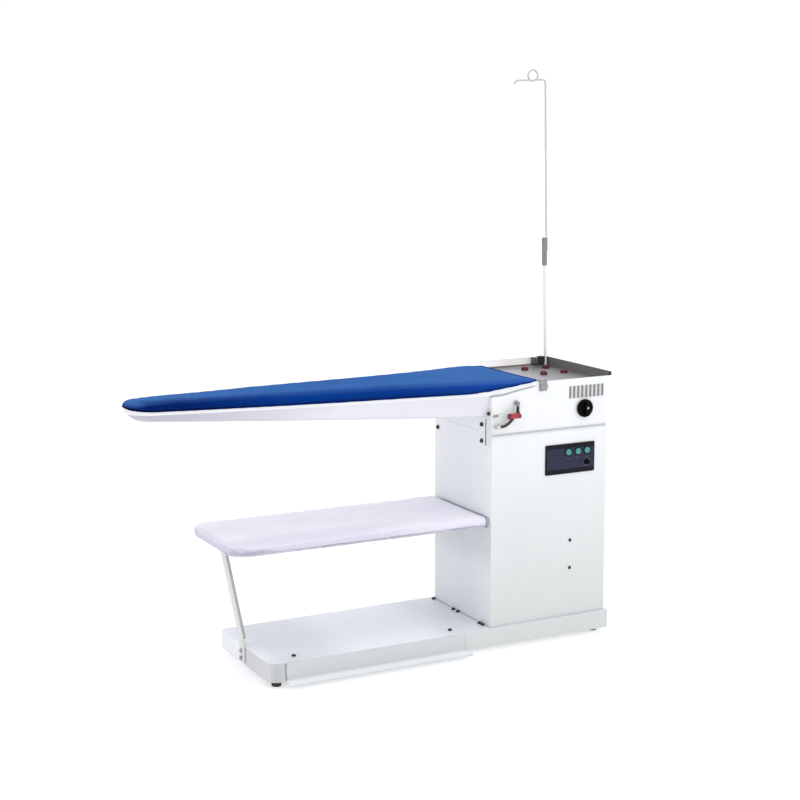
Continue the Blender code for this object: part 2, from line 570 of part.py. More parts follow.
# -------------------------------------------------------------------------- shelf
SX0, SX1, SY0, SY1 = -862.0, -3.0, 133.0, 487.0
SZ0, SZ1 = 397.0, 433.0
RISE = 0.005              # the shelf rises a little towards its free end


def tilt(x):
    return RISE * (SX1 - x)


def shelf_loop(inset, z, seg=6):
    return [(x, y, z + tilt(x)) for x, y in rounded(SX0 + inset, SX1 - inset, SY0 + inset, SY1 - inset,
                                                    (72 - inset, max(8 - inset, 1), max(8 - inset, 1), 72 - inset), seg)]


bm = new()
loft(bm, [shelf_loop(12, SZ0), shelf_loop(3, SZ0 + 6), shelf_loop(0, SZ0 + 14), shelf_loop(0, SZ1 - 14), shelf_loop(3, SZ1 - 6), shelf_loop(12, SZ1)])
shelf = add("shelf_cloth", bm, "white_cloth", smooth=50)
pocket = rounded(SX0 + 9, 30, SY0 + 9, SY1 - 9, (62, 4, 4, 62), 5)
bm = loft(new(), [[(x, y, z + tilt(x)) for x, y in pocket] for z in (SZ0 + 3.4, SZ1 - 3.4)])
boolean(shelf, add("shelf_pocket", bm, guide=True))
# tubular hoop inside the sleeve, ends at the cabinet
fz = 0.5 * (SZ0 + SZ1)
hoop = []
i0 = 22.5
cx0, r = SX0 + i0, 50.0
hoop += [(-4.0, SY0 + i0, fz), (-300, SY0 + i0, fz), (-600, SY0 + i0, fz), (cx0 + r, SY0 + i0, fz)]
for k in range(1, 7):
    a = math.radians(90 * k / 6)
    hoop.append((cx0 + r - r * math.sin(a), SY0 + i0 + r - r * math.cos(a), fz))
for k in range(0, 6):
    a = math.radians(90 * k / 6)
    hoop.append((cx0 + r - r * math.cos(a), SY1 - i0 - r + r * math.sin(a), fz))
hoop += [(cx0 + r, SY1 - i0, fz), (-600, SY1 - i0, fz), (-300, SY1 - i0, fz), (-4.0, SY1 - i0, fz)]
hoop = [(x, y, z + tilt(x)) for x, y, z in hoop]
wire("shelf_frame", hoop, 12.5, "paint", res=4)
# cleat under the shelf's end at the cabinet
bm = prism(new(), [(-30, 396.5), (-0.5, 396.5), (-0.5, 380), (-3.5, 380), (-3.5, 393.5), (-30, 393.5)], 1, 205, 425)
add("shelf_cleat", bm, "paint")
# leaning strut: steel angle with a foot plate on the base's end face
bm = new()
foot_x = BASE_X0 - 0.4
def strut_sec(x, z):
    return [(x, 289, z), (x, 327, z), (x + 21.5, 327, z), (x + 21.5, 324, z), (x + 3, 324, z), (x + 3, 289, z)]
xt, xb = -820.0, foot_x - 3.0
loft(bm, [strut_sec(xt, SZ0 - 0.5 + tilt(xt + 17)), strut_sec(xb - 0.6, 92.0)])
strut = add("shelf_strut", bm, "paint")
bm = box(new(), foot_x - 3.0, foot_x, 288, 328, 27, 95)
boolean(strut, add("strut_foot", bm, guide=True), "UNION")
bm = new()
for z in (60, 37):
    cyl(bm, (foot_x, 314, z), "x", 4.4, -8, 4, 12)
box(bm, foot_x + 0.01, foot_x + 30, 280, 340, 20, 79.2)
boolean(strut, add("strut_cuts", bm, guide=True))
for n, z in (("upper", 60), ("lower", 37)):
    bm = lathe(new(), [(0, 12), (3.7, 12), (3.7, -3.7), (6.6, -3.7), (6.6, -8.2), (5.8, -9.2), (0, -9.2)], (BASE_X0, 314, z), "x", 12)
    add("strut_bolt_" + n, bm, "zinc", smooth=30)

# ---------------------------------------------------------------------- iron tray
TX0, TX1, TY0, TY1 = 168.2, 424.0, 109.9, 469.0
bm = new()
# floor, low left and front walls, high back and right walls with a right flange
bm = box(bm, TX0, TX1, TY0, TY1, TRAY_FLOOR - 1.5, 867)
tray = add("iron_tray", bm, "stainless")
bm = box(new(), TX0 + 1.5, TX1 - 1.5, TY0 + 1.5, TY1 - 1.5, TRAY_FLOOR, 870)
bmesh.ops.bisect_plane(bm, geom=bm.verts[:] + bm.edges[:] + bm.faces[:], dist=0.0001, plane_co=(0, 284, 0), plane_no=(0, 1, 0))
boolean(tray, add("tray_hollow", bm, guide=True))
# the left and front walls stay level with the casing's edge
boolean(tray, add("tray_low_walls", box(new(), TX0 - 5, TX1 - 1.5, TY0 - 5, TY1 - 1.5, 851, 871), guide=True))
bm = prism(new(), [(TX1 - 1.5, 850.6), (TX1 + 2, 850.6), (X_RIGHT, 860.4), (X_RIGHT, 862), (TX1 - 1.5, 852.2)], 1, TY0, TY1)
boolean(tray, add("tray_flange", bm, guide=True), "UNION")
boolean(tray, add("tray_flange_lip", box(new(), X_RIGHT - 1.6, X_RIGHT, TY0, TY1, 849.5, 861.6), guide=True), "UNION")
bm = prism(new(), [(TX1 - 1.0, 850.8), (428.4, 850.8), (428.4, 849.5), (X_RIGHT - 0.8, 849.5), (X_RIGHT - 0.8, 861.2), (TX1 - 1.0, 851.8)], 1, TY0, TY1 - 357.5)
boolean(tray, add("tray_flange_end", bm, guide=True), "UNION")
bm = prism(new(), [(TY1 - 1.0, TRAY_FLOOR - 0.5), (TY1 - 1.0, 845.6), (TY1 - 7.5, 845.6), (TY1 - 18.0, TRAY_FLOOR - 0.5)], 0, TX0 + 1.0, 398)
boolean(tray, add("tray_bench", bm, guide=True), "UNION")
MX, MY = 413.0, 455.0
bm = cyl(new(), (MX, MY, TRAY_FLOOR), "z", 4.0, -5, 5, 12)
boolean(tray, add("tray_hole", bm, guide=True))
STUDS = [(305, 411), (387, 411), (310, 302), (388, 302)]
for i, (x, y) in enumerate(STUDS):
    bm = lathe(new(), [(0, TRAY_FLOOR + 0.3), (12, TRAY_FLOOR + 0.3), (12, TRAY_FLOOR + 7), (9.5, TRAY_FLOOR + 10.5), (4, TRAY_FLOOR + 12), (0, TRAY_FLOOR + 12)],
               (x, y, 0), "z", 18)
    add("rest_stud_%d" % (i + 1), bm, "red_silicone", smooth=45)
# clip hooked over the front edge
bm = prism(new(), [(104.2, 820), (106.9, 820), (106.9, 852.2), (112.3, 852.2), (112.3, 843), (113.8, 843), (113.8, 853.8), (104.2, 853.8), (104.2, 846),
                   (99.5, 838), (98.0, 829), (99.3, 828.4), (101, 837.4), (104.2, 842.5)], 0, 169.8, 196.8)
add("tray_clip", bm, "zinc")

# --------------------------------------------------------------------------- mast
# base bar with a post and a block beside the tube, strap behind the tube
bm = prism(new(), [(363, 846), (406, 846), (406, 869.5), (388, 869.5), (388, 851), (375, 851), (375, 867), (363, 867)], 1, 447, 467)
mbk = add("mast_bracket", bm, "cast")
bm = box(new(), 400, 421.8, 461.4, 467, 848, 867)
boolean(mbk, add("mast_strap", bm, guide=True), "UNION")
LEAN = math.radians(-1.42)       # the mast stands a little out of true
Z_T = 1212.0
bm = cyl(new(), (MX, MY, 0), "z", 5.6, TRAY_FLOOR + 0.8, Z_T, 16)
add("mast_tube", bm, "paint", pivot=(MX, MY, 856), smooth=40, rot=(0, LEAN, 0))
S0, S1 = 1175.0, 1267.0
bm = lathe(new(), [(0, S1), (6.5, S1), (8.6, S1 - 3), (8.6, S0), (6.0, S0), (6.0, 1216), (0, 1216)], (MX, MY, 0), "z", 20)
coup = add("mast_coupling", bm, "grey_plastic", pivot=(MX, MY, 856), smooth=40, rot=(0, LEAN, 0))
# side boss that takes the upper rod
bm = cyl(new(), (MX + 7.5, MY, 0), "z", 4.2, 1222, S1 - 0.5, 12)
boolean(coup, add("coupling_boss", bm, pivot=(MX, MY, 856), guide=True, rot=(0, LEAN, 0)), "UNION")
# upper rod: straight, bend, arm with a pigtail eye, turned-down tip
RX, RZ = MX + 7.5 + (1268 - 856) * math.sin(LEAN), 1267.5
ROD_LEAN = math.radians(-1.3)
ZB, RR = 1781.0, 12.0
pts = [(RX, MY, RZ + 1.6), (RX, MY, 1400), (RX, MY, 1600), (RX, MY, ZB - RR)]
for k in range(1, 6):
    a = math.radians(90 * k / 5)
    pts.append((RX - RR + RR * math.cos(a), MY, ZB - RR + RR * math.sin(a)))
EX, EZ, ER = 360.0, 1795.0, 17.5
pts.append((EX + 20, MY, ZB))
steps = 26
for k in range(steps + 1):
    a = (-math.pi / 2 + 0.75) - math.tau * k / steps
    pts.append((EX + ER * math.cos(a), MY - 7.0 * k / steps, EZ + ER * math.sin(a)))
end = pts[-1]
pts += [(end[0] - 16, end[1], end[2] - 3.0), (end[0] - 34, end[1], ZB - 0.5), (301, MY - 7, ZB - 0.5), (293, MY - 7, ZB - 3), (288, MY - 7, ZB - 12)]
rod_ob = wire("mast_rod", pts, 3.0, "paint", res=2, pivot=(RX, MY, RZ))
rod_ob.rotation_euler = (0, ROD_LEAN, 0)

# -------------------------------------------------------------------- valve group
# corner plate: flange on the left face, leg in front
bm = prism(new(), [(-3.4, 137), (-0.5, 137), (-0.5, 106.9), (50, 106.9), (50, 104.4), (-3.4, 104.4)], 2, 657, 768)
vp = add("valve_plate", bm, "paint_inner")
bm = box(new(), -1.6, 60, 100, 112, 650, 712)
box(bm, -10, 0, 127, 145, 741, 790)
box(bm, 7, 60, 100, 112, 759, 790)
cyl(bm, (13, 106, 722), "y", 5.4, -8, 6, 16)
boolean(vp, add("valve_plate_cut", bm, guide=True))
# hose barb on the plate
bm = lathe(new(), [(0, -0.8), (5.0, -0.8), (5.0, -3.4), (8.0, -3.4), (8.0, -7.5), (6.0, -8.5), (6.0, -21.6), (0, -21.6)], (13, 107.4, 722), "y", 16)
barb = add("hose_barb", bm, "zinc", smooth=35)
bm = cyl(new(), (13, 91.5, 722), "x", 5.4, 0, 6.3, 14)
boolean(barb, add("barb_nozzle", bm, guide=True), "UNION")
# short hose from the barb up to the valve
pts = []
IN_DIR = Vector((-math.cos(math.radians(43)), 0, -math.sin(math.radians(43))))
IN_AT = Vector((83.0, 91.5, 760.5))
P0, P1, P2, P3 = Vector((19.65, 91.5, 722)), Vector((42, 91.5, 720.5)), Vector((53, 91.5, 732)), IN_AT + IN_DIR * 26
for k in range(15):
    t = k / 14
    pts.append(tuple(P0 * (1 - t)**3 + P1 * 3 * t * (1 - t)**2 + P2 * 3 * t * t * (1 - t) + P3 * t**3))
pts.append(tuple(IN_AT + IN_DIR * 17.65))
wire("valve_hose", pts, 4.8, "rubber", res=2)
# valve body on a vertical line, boss for the lever in front
VX, VY = 83.0, 91.5
bm = lathe(new(), [(0, 744), (5.0, 744), (5.0, 747), (6.2, 748), (6.2, 764), (5.0, 765), (5.0, 781), (0, 781)], (VX, VY, 0), "z", 18)
vb = add("valve_body", bm, "black_plastic", smooth=35)
bm = cyl(new(), (VX, VY, 753.5), "y", 3.2, -9.2, 0, 14)
boolean(vb, add("valve_boss", bm, guide=True), "UNION")
# inlet stub that takes the hose from the lower left
bm = cyl(new(), (0, 0, 0), "z", 5.2, 0.8, 17.3, 14)
bmesh.ops.rotate(bm, cent=(0, 0, 0), matrix=Vector((0, 0, 1)).rotation_difference(IN_DIR).to_matrix(), verts=bm.verts)
bmesh.ops.translate(bm, vec=IN_AT, verts=bm.verts)
boolean(vb, add("valve_inlet", bm, guide=True), "UNION")
# red lever: hub and winged grip
lev = [(VX + 2.6, 747), (VX + 4.4, 749.5), (VX + 4.4, 757), (VX + 2.6, 760), (VX - 6, 763), (VX - 16, 763.5), (VX - 28, 762.5), (VX - 40, 764), (VX - 43.5, 759.5),
       (VX - 43.5, 749), (VX - 40, 744.5), (VX - 28, 746.5), (VX - 16, 747), (VX - 6, 746)]
bm = prism(new(), lev, 1, 75.4, 82.0)
lever = add("valve_lever", bm, "red_plastic", pivot=(VX, 79, 753.5))
bevel(lever, 1.2, 2)
# elbow from the casing to the valve
bm = lathe(new(), [(0, 14), (5.2, 14), (5.2, -0.8), (9.0, -0.8), (9.0, -6), (5.4, -6.4), (5.4, -19.2), (0, -21.4)], (VX, 107.4, 791), "y", 16)
el = add("valve_elbow", bm, "zinc", smooth=35)
bm = cyl(new(), (VX, VY, 791), "z", 5.1, -9.6, 0, 16)
boolean(el, add("elbow_leg", bm, guide=True), "UNION")

# ----------------------------------------------------------------- small fasteners
for n, x, z in (("front_screw_upper", 293, 327), ("front_screw_lower", 293, 236)):
    bm = lathe(new(), [(0, 8), (2.4, 8), (2.4, -0.3), (5.4, -0.3), (5.4, -1.8), (3.6, -3.4), (0, -3.7)], (x, CAB_Y0, z), "y", 14)
    add(n, bm, "black_plastic", smooth=35)
for n, y, z in (("side_screw_rear", 449, 664), ("side_screw_front", 167, 668)):
    bm = lathe(new(), [(0, 7.5), (2.4, 7.5), (2.4, -0.3), (7.0, -0.3), (7.0, -4.2), (5.2, -6.4), (0, -7.0)], (0, y, z), "x", 14)
    add(n, bm, "black_plastic", smooth=35)
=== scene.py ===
"""Looks of the ironing table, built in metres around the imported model."""
import bpy
import bmesh
import math
import numpy as np
from mathutils import Vector, Matrix


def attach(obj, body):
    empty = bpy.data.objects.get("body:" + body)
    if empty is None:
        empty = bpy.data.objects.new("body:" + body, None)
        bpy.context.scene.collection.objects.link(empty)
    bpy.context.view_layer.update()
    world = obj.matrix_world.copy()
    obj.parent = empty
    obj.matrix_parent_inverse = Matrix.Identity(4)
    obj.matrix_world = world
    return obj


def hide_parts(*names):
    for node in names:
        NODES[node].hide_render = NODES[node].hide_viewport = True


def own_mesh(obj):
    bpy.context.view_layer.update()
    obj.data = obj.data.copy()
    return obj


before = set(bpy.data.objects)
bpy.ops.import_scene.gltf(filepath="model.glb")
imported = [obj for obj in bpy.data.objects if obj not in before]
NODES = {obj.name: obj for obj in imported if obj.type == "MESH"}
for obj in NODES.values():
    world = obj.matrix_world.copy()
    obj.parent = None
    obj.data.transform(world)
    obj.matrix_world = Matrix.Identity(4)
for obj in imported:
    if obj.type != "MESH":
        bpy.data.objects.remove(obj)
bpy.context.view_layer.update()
scene = bpy.context.scene
root = "frame"

# ---------------------------------------------------------------- driving dimensions
# millimetres in the working frame of the CAD: x = 0 is the cabinet's left face, y grows
# to the back, z = 0 is the floor
X_NOSE, X_RIGHT, Y_FRONT, Y_BACK = -1118.0, 443.0, 66.0, 493.0
XC, YC = 0.5 * (X_NOSE + X_RIGHT), 0.5 * (Y_FRONT + Y_BACK)
CAB_W, CAB_Y0, CAB_Y1 = 426.5, 107.4, 471.5
BASE_X0, BASE_X1, BASE_Y0, BASE_TOP, BASE_LOW = -755.7, 441.5, 97.7, 77.8, 19.5
YB, BOARD_END = 289.45, 162.0
STATIONS = [(-1036, 77), (-972, 87), (-900, 97), (-800, 110), (-700, 123), (-600, 134),
            (-450, 146), (-300, 157), (-150, 169), (0, 180), (80, 184), (400, 184)]


def W(x, y, z):
    """Working millimetres to metres in the row frame."""
    return Vector(((x - XC) * 0.001, (y - YC) * 0.001, z * 0.001))


def half_width(x):
    s = STATIONS
    n = len(s)
    sl = [(s[i + 1][1] - s[i][1]) / (s[i + 1][0] - s[i][0]) for i in range(n - 1)]
    m = [sl[0]] + [0.0 if sl[i - 1] * sl[i] <= 0 else 2 * sl[i - 1] * sl[i] / (sl[i - 1] + sl[i])
                   for i in range(1, n - 1)] + [0.0]
    for i in range(n - 1):
        if x <= s[i + 1][0] or i == n - 2:
            h = s[i + 1][0] - s[i][0]
            t = min(max((x - s[i][0]) / h, 0.0), 1.0)
            return ((2 * t**3 - 3 * t**2 + 1) * s[i][1] + (t**3 - 2 * t**2 + t) * h * m[i]
                    + (-2 * t**3 + 3 * t**2) * s[i + 1][1] + (t**3 - t**2) * h * m[i + 1])


def z_top(x):
    return 856.5 - 0.004 * x


def z_hem(x):
    k = max(0.0, x + 75.0)
    n = max(0.0, -1035.0 - x) / 83.0
    return 826.0 - 0.0118 * x + 0.127 * k * k / (k + 18.0) + 6.5 * n * n


def z_rim(x):
    return 816.0 - 0.0118 * x


# ------------------------------------------------------------------------- materials
class Mat:
    """A principled material with a few helpers for its procedural nodes."""

    def __init__(self, name, rgb, rough=0.5, metal=0.0, **kw):
        self.m = bpy.data.materials.new(name)
        self.m.use_nodes = True
        self.nt = self.m.node_tree
        self.p = self.nt.nodes["Principled BSDF"]
        self.p.inputs["Base Color"].default_value = (*rgb, 1)
        self.p.inputs["Roughness"].default_value = rough
        self.p.inputs["Metallic"].default_value = metal
        for k, v in kw.items():
            self.p.inputs[k.replace("_", " ")].default_value = v
        self.m.diffuse_color = (*rgb, 1)
        self.rgb = rgb
        self._co = None

    def node(self, kind, **props):
        n = self.nt.nodes.new(kind)
        for k, v in props.items():
            setattr(n, k, v)
        return n

    def link(self, a, b):
        self.nt.links.new(a, b)

    def co(self, scale=(1, 1, 1), rot=(0, 0, 0), loc=(0, 0, 0)):
        if self._co is None:
            self._co = self.node("ShaderNodeTexCoord")
        mp = self.node("ShaderNodeMapping")
        mp.inputs["Scale"].default_value = scale
        mp.inputs["Rotation"].default_value = rot
        mp.inputs["Location"].default_value = loc
        self.link(self._co.outputs["Object"], mp.inputs["Vector"])
        return mp.outputs["Vector"]

    def noise(self, scale, detail=3.0, rough=0.55, vec=None, dist=0.0):
        n = self.node("ShaderNodeTexNoise")
        n.inputs["Scale"].default_value = scale
        n.inputs["Detail"].default_value = detail
        n.inputs["Roughness"].default_value = rough
        n.inputs["Distortion"].default_value = dist
        self.link(vec if vec is not None else self.co(), n.inputs["Vector"])
        return n.outputs["Fac"]

    def voronoi(self, scale, vec=None, feature="F1", out="Distance"):
        n = self.node("ShaderNodeTexVoronoi", feature=feature)
        n.inputs["Scale"].default_value = scale
        self.link(vec if vec is not None else self.co(), n.inputs["Vector"])
        return n.outputs[out]

    def wave(self, scale, vec, direction="X", profile="SIN", dist=0.0):
        n = self.node("ShaderNodeTexWave", wave_type="BANDS", bands_direction=direction, wave_profile=profile)
        n.inputs["Scale"].default_value = scale
        n.inputs["Distortion"].default_value = dist
        self.link(vec, n.inputs["Vector"])
        return n.outputs["Fac"]

    def math(self, op, a, b=None, clamp=False):
        n = self.node("ShaderNodeMath", operation=op, use_clamp=clamp)
        for i, v in enumerate((a, b)):
            if v is None:
                continue
            if isinstance(v, (int, float)):
                n.inputs[i].default_value = v
            else:
                self.link(v, n.inputs[i])
        return n.outputs[0]

    def rng(self, v, a0, a1, b0, b1, smooth=False):
        n = self.node("ShaderNodeMapRange")
        n.interpolation_type = "SMOOTHSTEP" if smooth else "LINEAR"
        n.clamp = True
        for k, x in (("From Min", a0), ("From Max", a1), ("To Min", b0), ("To Max", b1)):
            n.inputs[k].default_value = x
        self.link(v, n.inputs["Value"])
        return n.outputs["Result"]

    def mix(self, fac, a, b, blend="MIX"):
        n = self.node("ShaderNodeMix", data_type="RGBA", blend_type=blend)
        n.inputs[0].default_value = fac if isinstance(fac, (int, float)) else 0.5
        if not isinstance(fac, (int, float)):
            self.link(fac, n.inputs[0])
        for i, v in ((6, a), (7, b)):
            if isinstance(v, tuple):
                n.inputs[i].default_value = (*v, 1)
            else:
                self.link(v, n.inputs[i])
        return n.outputs[2]

    def bump(self, h, strength, distance, normal=None):
        n = self.node("ShaderNodeBump")
        n.inputs["Strength"].default_value = strength
        n.inputs["Distance"].default_value = distance
        self.link(h, n.inputs["Height"])
        if normal is not None:
            self.link(normal, n.inputs["Normal"])
        return n.outputs["Normal"]

    def normal_z(self):
        g = self.node("ShaderNodeNewGeometry")
        s = self.node("ShaderNodeSeparateXYZ")
        self.link(g.outputs["Normal"], s.inputs[0])
        return s.outputs

    def place(self):
        """The point itself, as x, y, z in metres."""
        g = self.node("ShaderNodeNewGeometry")
        s = self.node("ShaderNodeSeparateXYZ")
        self.link(g.outputs["Position"], s.inputs[0])
        return s.outputs

    def color(self, v):
        self.link(v, self.p.inputs["Base Color"])
        return self

    def rough(self, v):
        self.link(v, self.p.inputs["Roughness"])
        return self

    def normal(self, v):
        self.link(v, self.p.inputs["Normal"])
        return self


def tint(rgb, k):
    return tuple(min(1.0, c * k) for c in rgb)


def paint(name, rgb, rough=0.38, peel=0.5, coat=0.0, foot=0.0):
    """Powder coat: faint mottling, orange peel; with foot, painted shade greys front faces towards the floor."""
    m = Mat(name, rgb, rough)
    m.p.inputs["Specular IOR Level"].default_value = 0.3
    big = m.noise(5.5, 4.0, 0.6)
    fine = m.noise(240.0, 2.0, 0.5)
    c = m.mix(m.rng(big, 0.3, 0.7, 0, 1), tint(rgb, 0.975), tint(rgb, 1.02))
    c = m.mix(m.rng(fine, 0.66, 0.8, 0, 0.2), c, tint(rgb, 0.88))
    # painted shade: front faces grow greyer towards the floor
    if foot:
        n, at = m.normal_z(), m.place()
        face = m.rng(n[1], -0.9, -0.4, 1.0, 0.0, smooth=True)
        low = m.rng(m.math("ADD", at[2], m.math("MULTIPLY", big, 0.06)), 0.02, 0.80, 1.0, 0.0)
        c = m.mix(m.math("MULTIPLY", m.math("MULTIPLY", face, low), foot), c, (0.50, 0.53, 0.52))
    m.color(c)
    m.rough(m.rng(m.noise(38.0, 3.0), 0.3, 0.7, rough - 0.05, rough + 0.07))
    peelh = m.noise(620.0, 2.0, 0.45)
    m.normal(m.bump(peelh, 0.12 * peel, 0.0004, m.bump(m.noise(9.0, 2.0), 0.05, 0.004)))
    if coat:
        m.p.inputs["Coat Weight"].default_value = coat
        m.p.inputs["Coat Roughness"].default_value = 0.15
    return m


def base_paint(name, rgb):
    """Powder coat of the base, with painted shade greying the left end's front part and the round front corner, a
    painted cool light on top faces, and painted shade on the top at the left, near the cabinet and at the front left.
    """
    m = paint(name, rgb, foot=0.75)
    c = m.p.inputs["Base Color"].links[0].from_socket
    n, at = m.normal_z(), m.place()
    up = m.rng(n[2], 0.4, 0.8, 0.0, 1.0)
    wall = m.math("SUBTRACT", 1.0, up)
    # painted shade: the left end's walls in their front part, and the front corner by its turn, are greyed
    end = m.rng(at[0], -0.3800, -0.3735, 1.0, 0.0)
    fore = m.rng(at[1], 0.014, 0.030, 1.0, 0.0)
    turn = m.rng(n[0], -0.96, -0.70, 0.0, -0.10)
    c = m.mix(m.math("MULTIPLY", m.math("MULTIPLY", wall, end), fore), c, m.mix(m.math("ADD", turn, 0.27), c, (0.0, 0.0, 0.0)))
    # painted shade on the top faces at the left and near the cabinet
    left = m.math("MULTIPLY", m.rng(at[0], -0.25, -0.08, 1.0, 0.0, smooth=True), m.rng(at[0], -0.415, -0.35, 0.0, 1.0, smooth=True))
    right = m.rng(at[0], 0.10, 0.25, 0.0, 1.0, smooth=True)
    top_shade = m.math("MULTIPLY", up, m.math("MAXIMUM", left, right))
    # painted cool light: top faces are lightened towards a pale blue
    c = m.mix(m.math("MULTIPLY", up, 0.5), c, (0.90, 0.93, 1.0))
    c = m.mix(m.math("MULTIPLY", top_shade, 0.125), c, (0.02, 0.02, 0.03))
    # painted shade on the top faces towards the front, at the left
    brink = m.math("MULTIPLY", m.rng(at[1], -0.165, -0.090, 1.0, 0.0, smooth=True), m.rng(at[0], -0.33, -0.20, 1.0, 0.0, smooth=True))
    c = m.mix(m.math("MULTIPLY", m.math("MULTIPLY", up, brink), 0.10), c, (0.02, 0.02, 0.03))
    m.color(c)
    return m


def cabinet_paint(name, rgb):
    """Powder coat of the cabinet: its left face is greyer below the shelf, a painted shadow of the shelf, and the front
    is greyed just under the seam as painted shade.
    """
    m = paint(name, rgb, foot=0.75)
    c = m.p.inputs["Base Color"].links[0].from_socket
    n, at = m.normal_z(), m.place()
    side = m.rng(n[0], -0.95, -0.80, 1.0, 0.0)
    # painted shadow of the shelf on the left face, deepest just under it
    low = m.rng(at[2], 0.40, 0.46, 0.065, 0.0, smooth=True)
    # painted shade on the front just under the seam
    brim = m.math("MULTIPLY", m.rng(n[1], -0.95, -0.80, 1.0, 0.0), m.rng(at[2], 0.6815, 0.6900, 0.0, 0.20))
    near = m.math("MULTIPLY", m.rng(at[2], 0.235, 0.335, 0.0, 0.155, smooth=True), m.rng(at[2], 0.40, 0.42, 1.0, 0.0))
    c = m.mix(m.math("MULTIPLY", side, m.math("ADD", low, near)), c, (0.02, 0.022, 0.024))
    c = m.mix(brim, c, (0.05, 0.055, 0.055))
    m.color(c)
    return m


def plastic(name, rgb, rough=0.4, grain=700.0, strength=0.12, spec=None):
    """Moulded plastic with a spark-eroded grain."""
    m = Mat(name, rgb, rough)
    if spec is not None:
        m.p.inputs["Specular IOR Level"].default_value = spec
    g = m.voronoi(grain)
    n = m.noise(60.0, 3.0)
    m.color(m.mix(m.rng(n, 0.3, 0.7, 0, 1), tint(rgb, 0.85), tint(rgb, 1.2)))
    m.rough(m.rng(n, 0.3, 0.7, rough - 0.06, rough + 0.1))
    m.normal(m.bump(g, strength, 0.0003))
    return m


def brushed(name, rgb, rough=0.3, along="X", grain=1.0):
    """Brushed sheet: long fine scratches, uneven sheen, a few handling marks."""
    m = Mat(name, rgb, rough, 1.0)
    s = {"X": (14, 1400, 1400), "Y": (1400, 14, 1400), "Z": (1400, 1400, 14)}[along]
    scr = m.noise(1.0, 4.0, 0.7, m.co(s))
    cloud = m.noise(16.0, 3.0, 0.6)
    c = m.mix(m.rng(scr, 0.25, 0.75, 0, 1), tint(rgb, 0.88), tint(rgb, 1.1))
    c = m.mix(m.rng(cloud, 0.35, 0.75, 0, 0.35), c, tint(rgb, 0.8))
    m.color(c)
    m.rough(m.math("ADD", m.rng(scr, 0.2, 0.8, rough - 0.07, rough + 0.1), m.rng(cloud, 0.3, 0.7, -0.03, 0.06)))
    m.normal(m.bump(scr, 0.12 * grain, 0.0003))
    return m


def zinc(name, rgb=(0.52, 0.52, 0.51), rough=0.38):
    """Zinc plate: crystalline patches with a soft sheen."""
    m = Mat(name, rgb, rough, 1.0)
    v = m.voronoi(160.0, out="Color")
    n = m.noise(90.0, 3.0)
    bw = m.node("ShaderNodeRGBToBW")
    m.link(v, bw.inputs[0])
    m.color(m.mix(m.rng(bw.outputs[0], 0.2, 0.8, 0, 1), tint(rgb, 0.82), tint(rgb, 1.12)))
    m.rough(m.rng(n, 0.3, 0.7, rough - 0.08, rough + 0.1))
    m.normal(m.bump(n, 0.08, 0.0003))
    return m


def cast(name, rgb, rough=0.55):
    m = Mat(name, rgb, rough, 0.6)
    n = m.noise(420.0, 4.0, 0.6)
    m.color(m.mix(m.rng(n, 0.3, 0.7, 0, 1), tint(rgb, 0.75), tint(rgb, 1.2)))
    m.rough(m.rng(n, 0.3, 0.7, rough - 0.08, rough + 0.12))
    m.normal(m.bump(n, 0.35, 0.0006))
    return m


def rubber(name, rgb=(0.018, 0.018, 0.019), rough=0.72):
    m = Mat(name, rgb, rough)
    n = m.noise(300.0, 3.0)
    m.color(m.mix(m.rng(n, 0.3, 0.75, 0, 1), tint(rgb, 0.8), tint(rgb, 1.9)))
    m.rough(m.rng(n, 0.3, 0.7, rough - 0.06, rough + 0.12))
    m.normal(m.bump(n, 0.2, 0.0005))
    return m


def weave(m, pitch, amp, vec_scale=1.0):
    """Plain weave seen on all faces: bands along the three axes, thinned by noise."""
    k = 2 * math.pi / 20.0 / pitch
    co = m.co()
    wx = m.wave(k, co, "X", dist=0.6)
    wy = m.wave(k, co, "Y", dist=0.6)
    wz = m.wave(k, co, "Z", dist=0.6)
    h = m.math("MULTIPLY", m.math("ADD", wx, wz), m.math("ADD", wy, wz))
    slub = m.noise(1.0, 3.0, 0.6, m.co((60, 900, 900)))
    return m.math("ADD", m.math("MULTIPLY", h, 0.35), m.math("MULTIPLY", slub, amp))


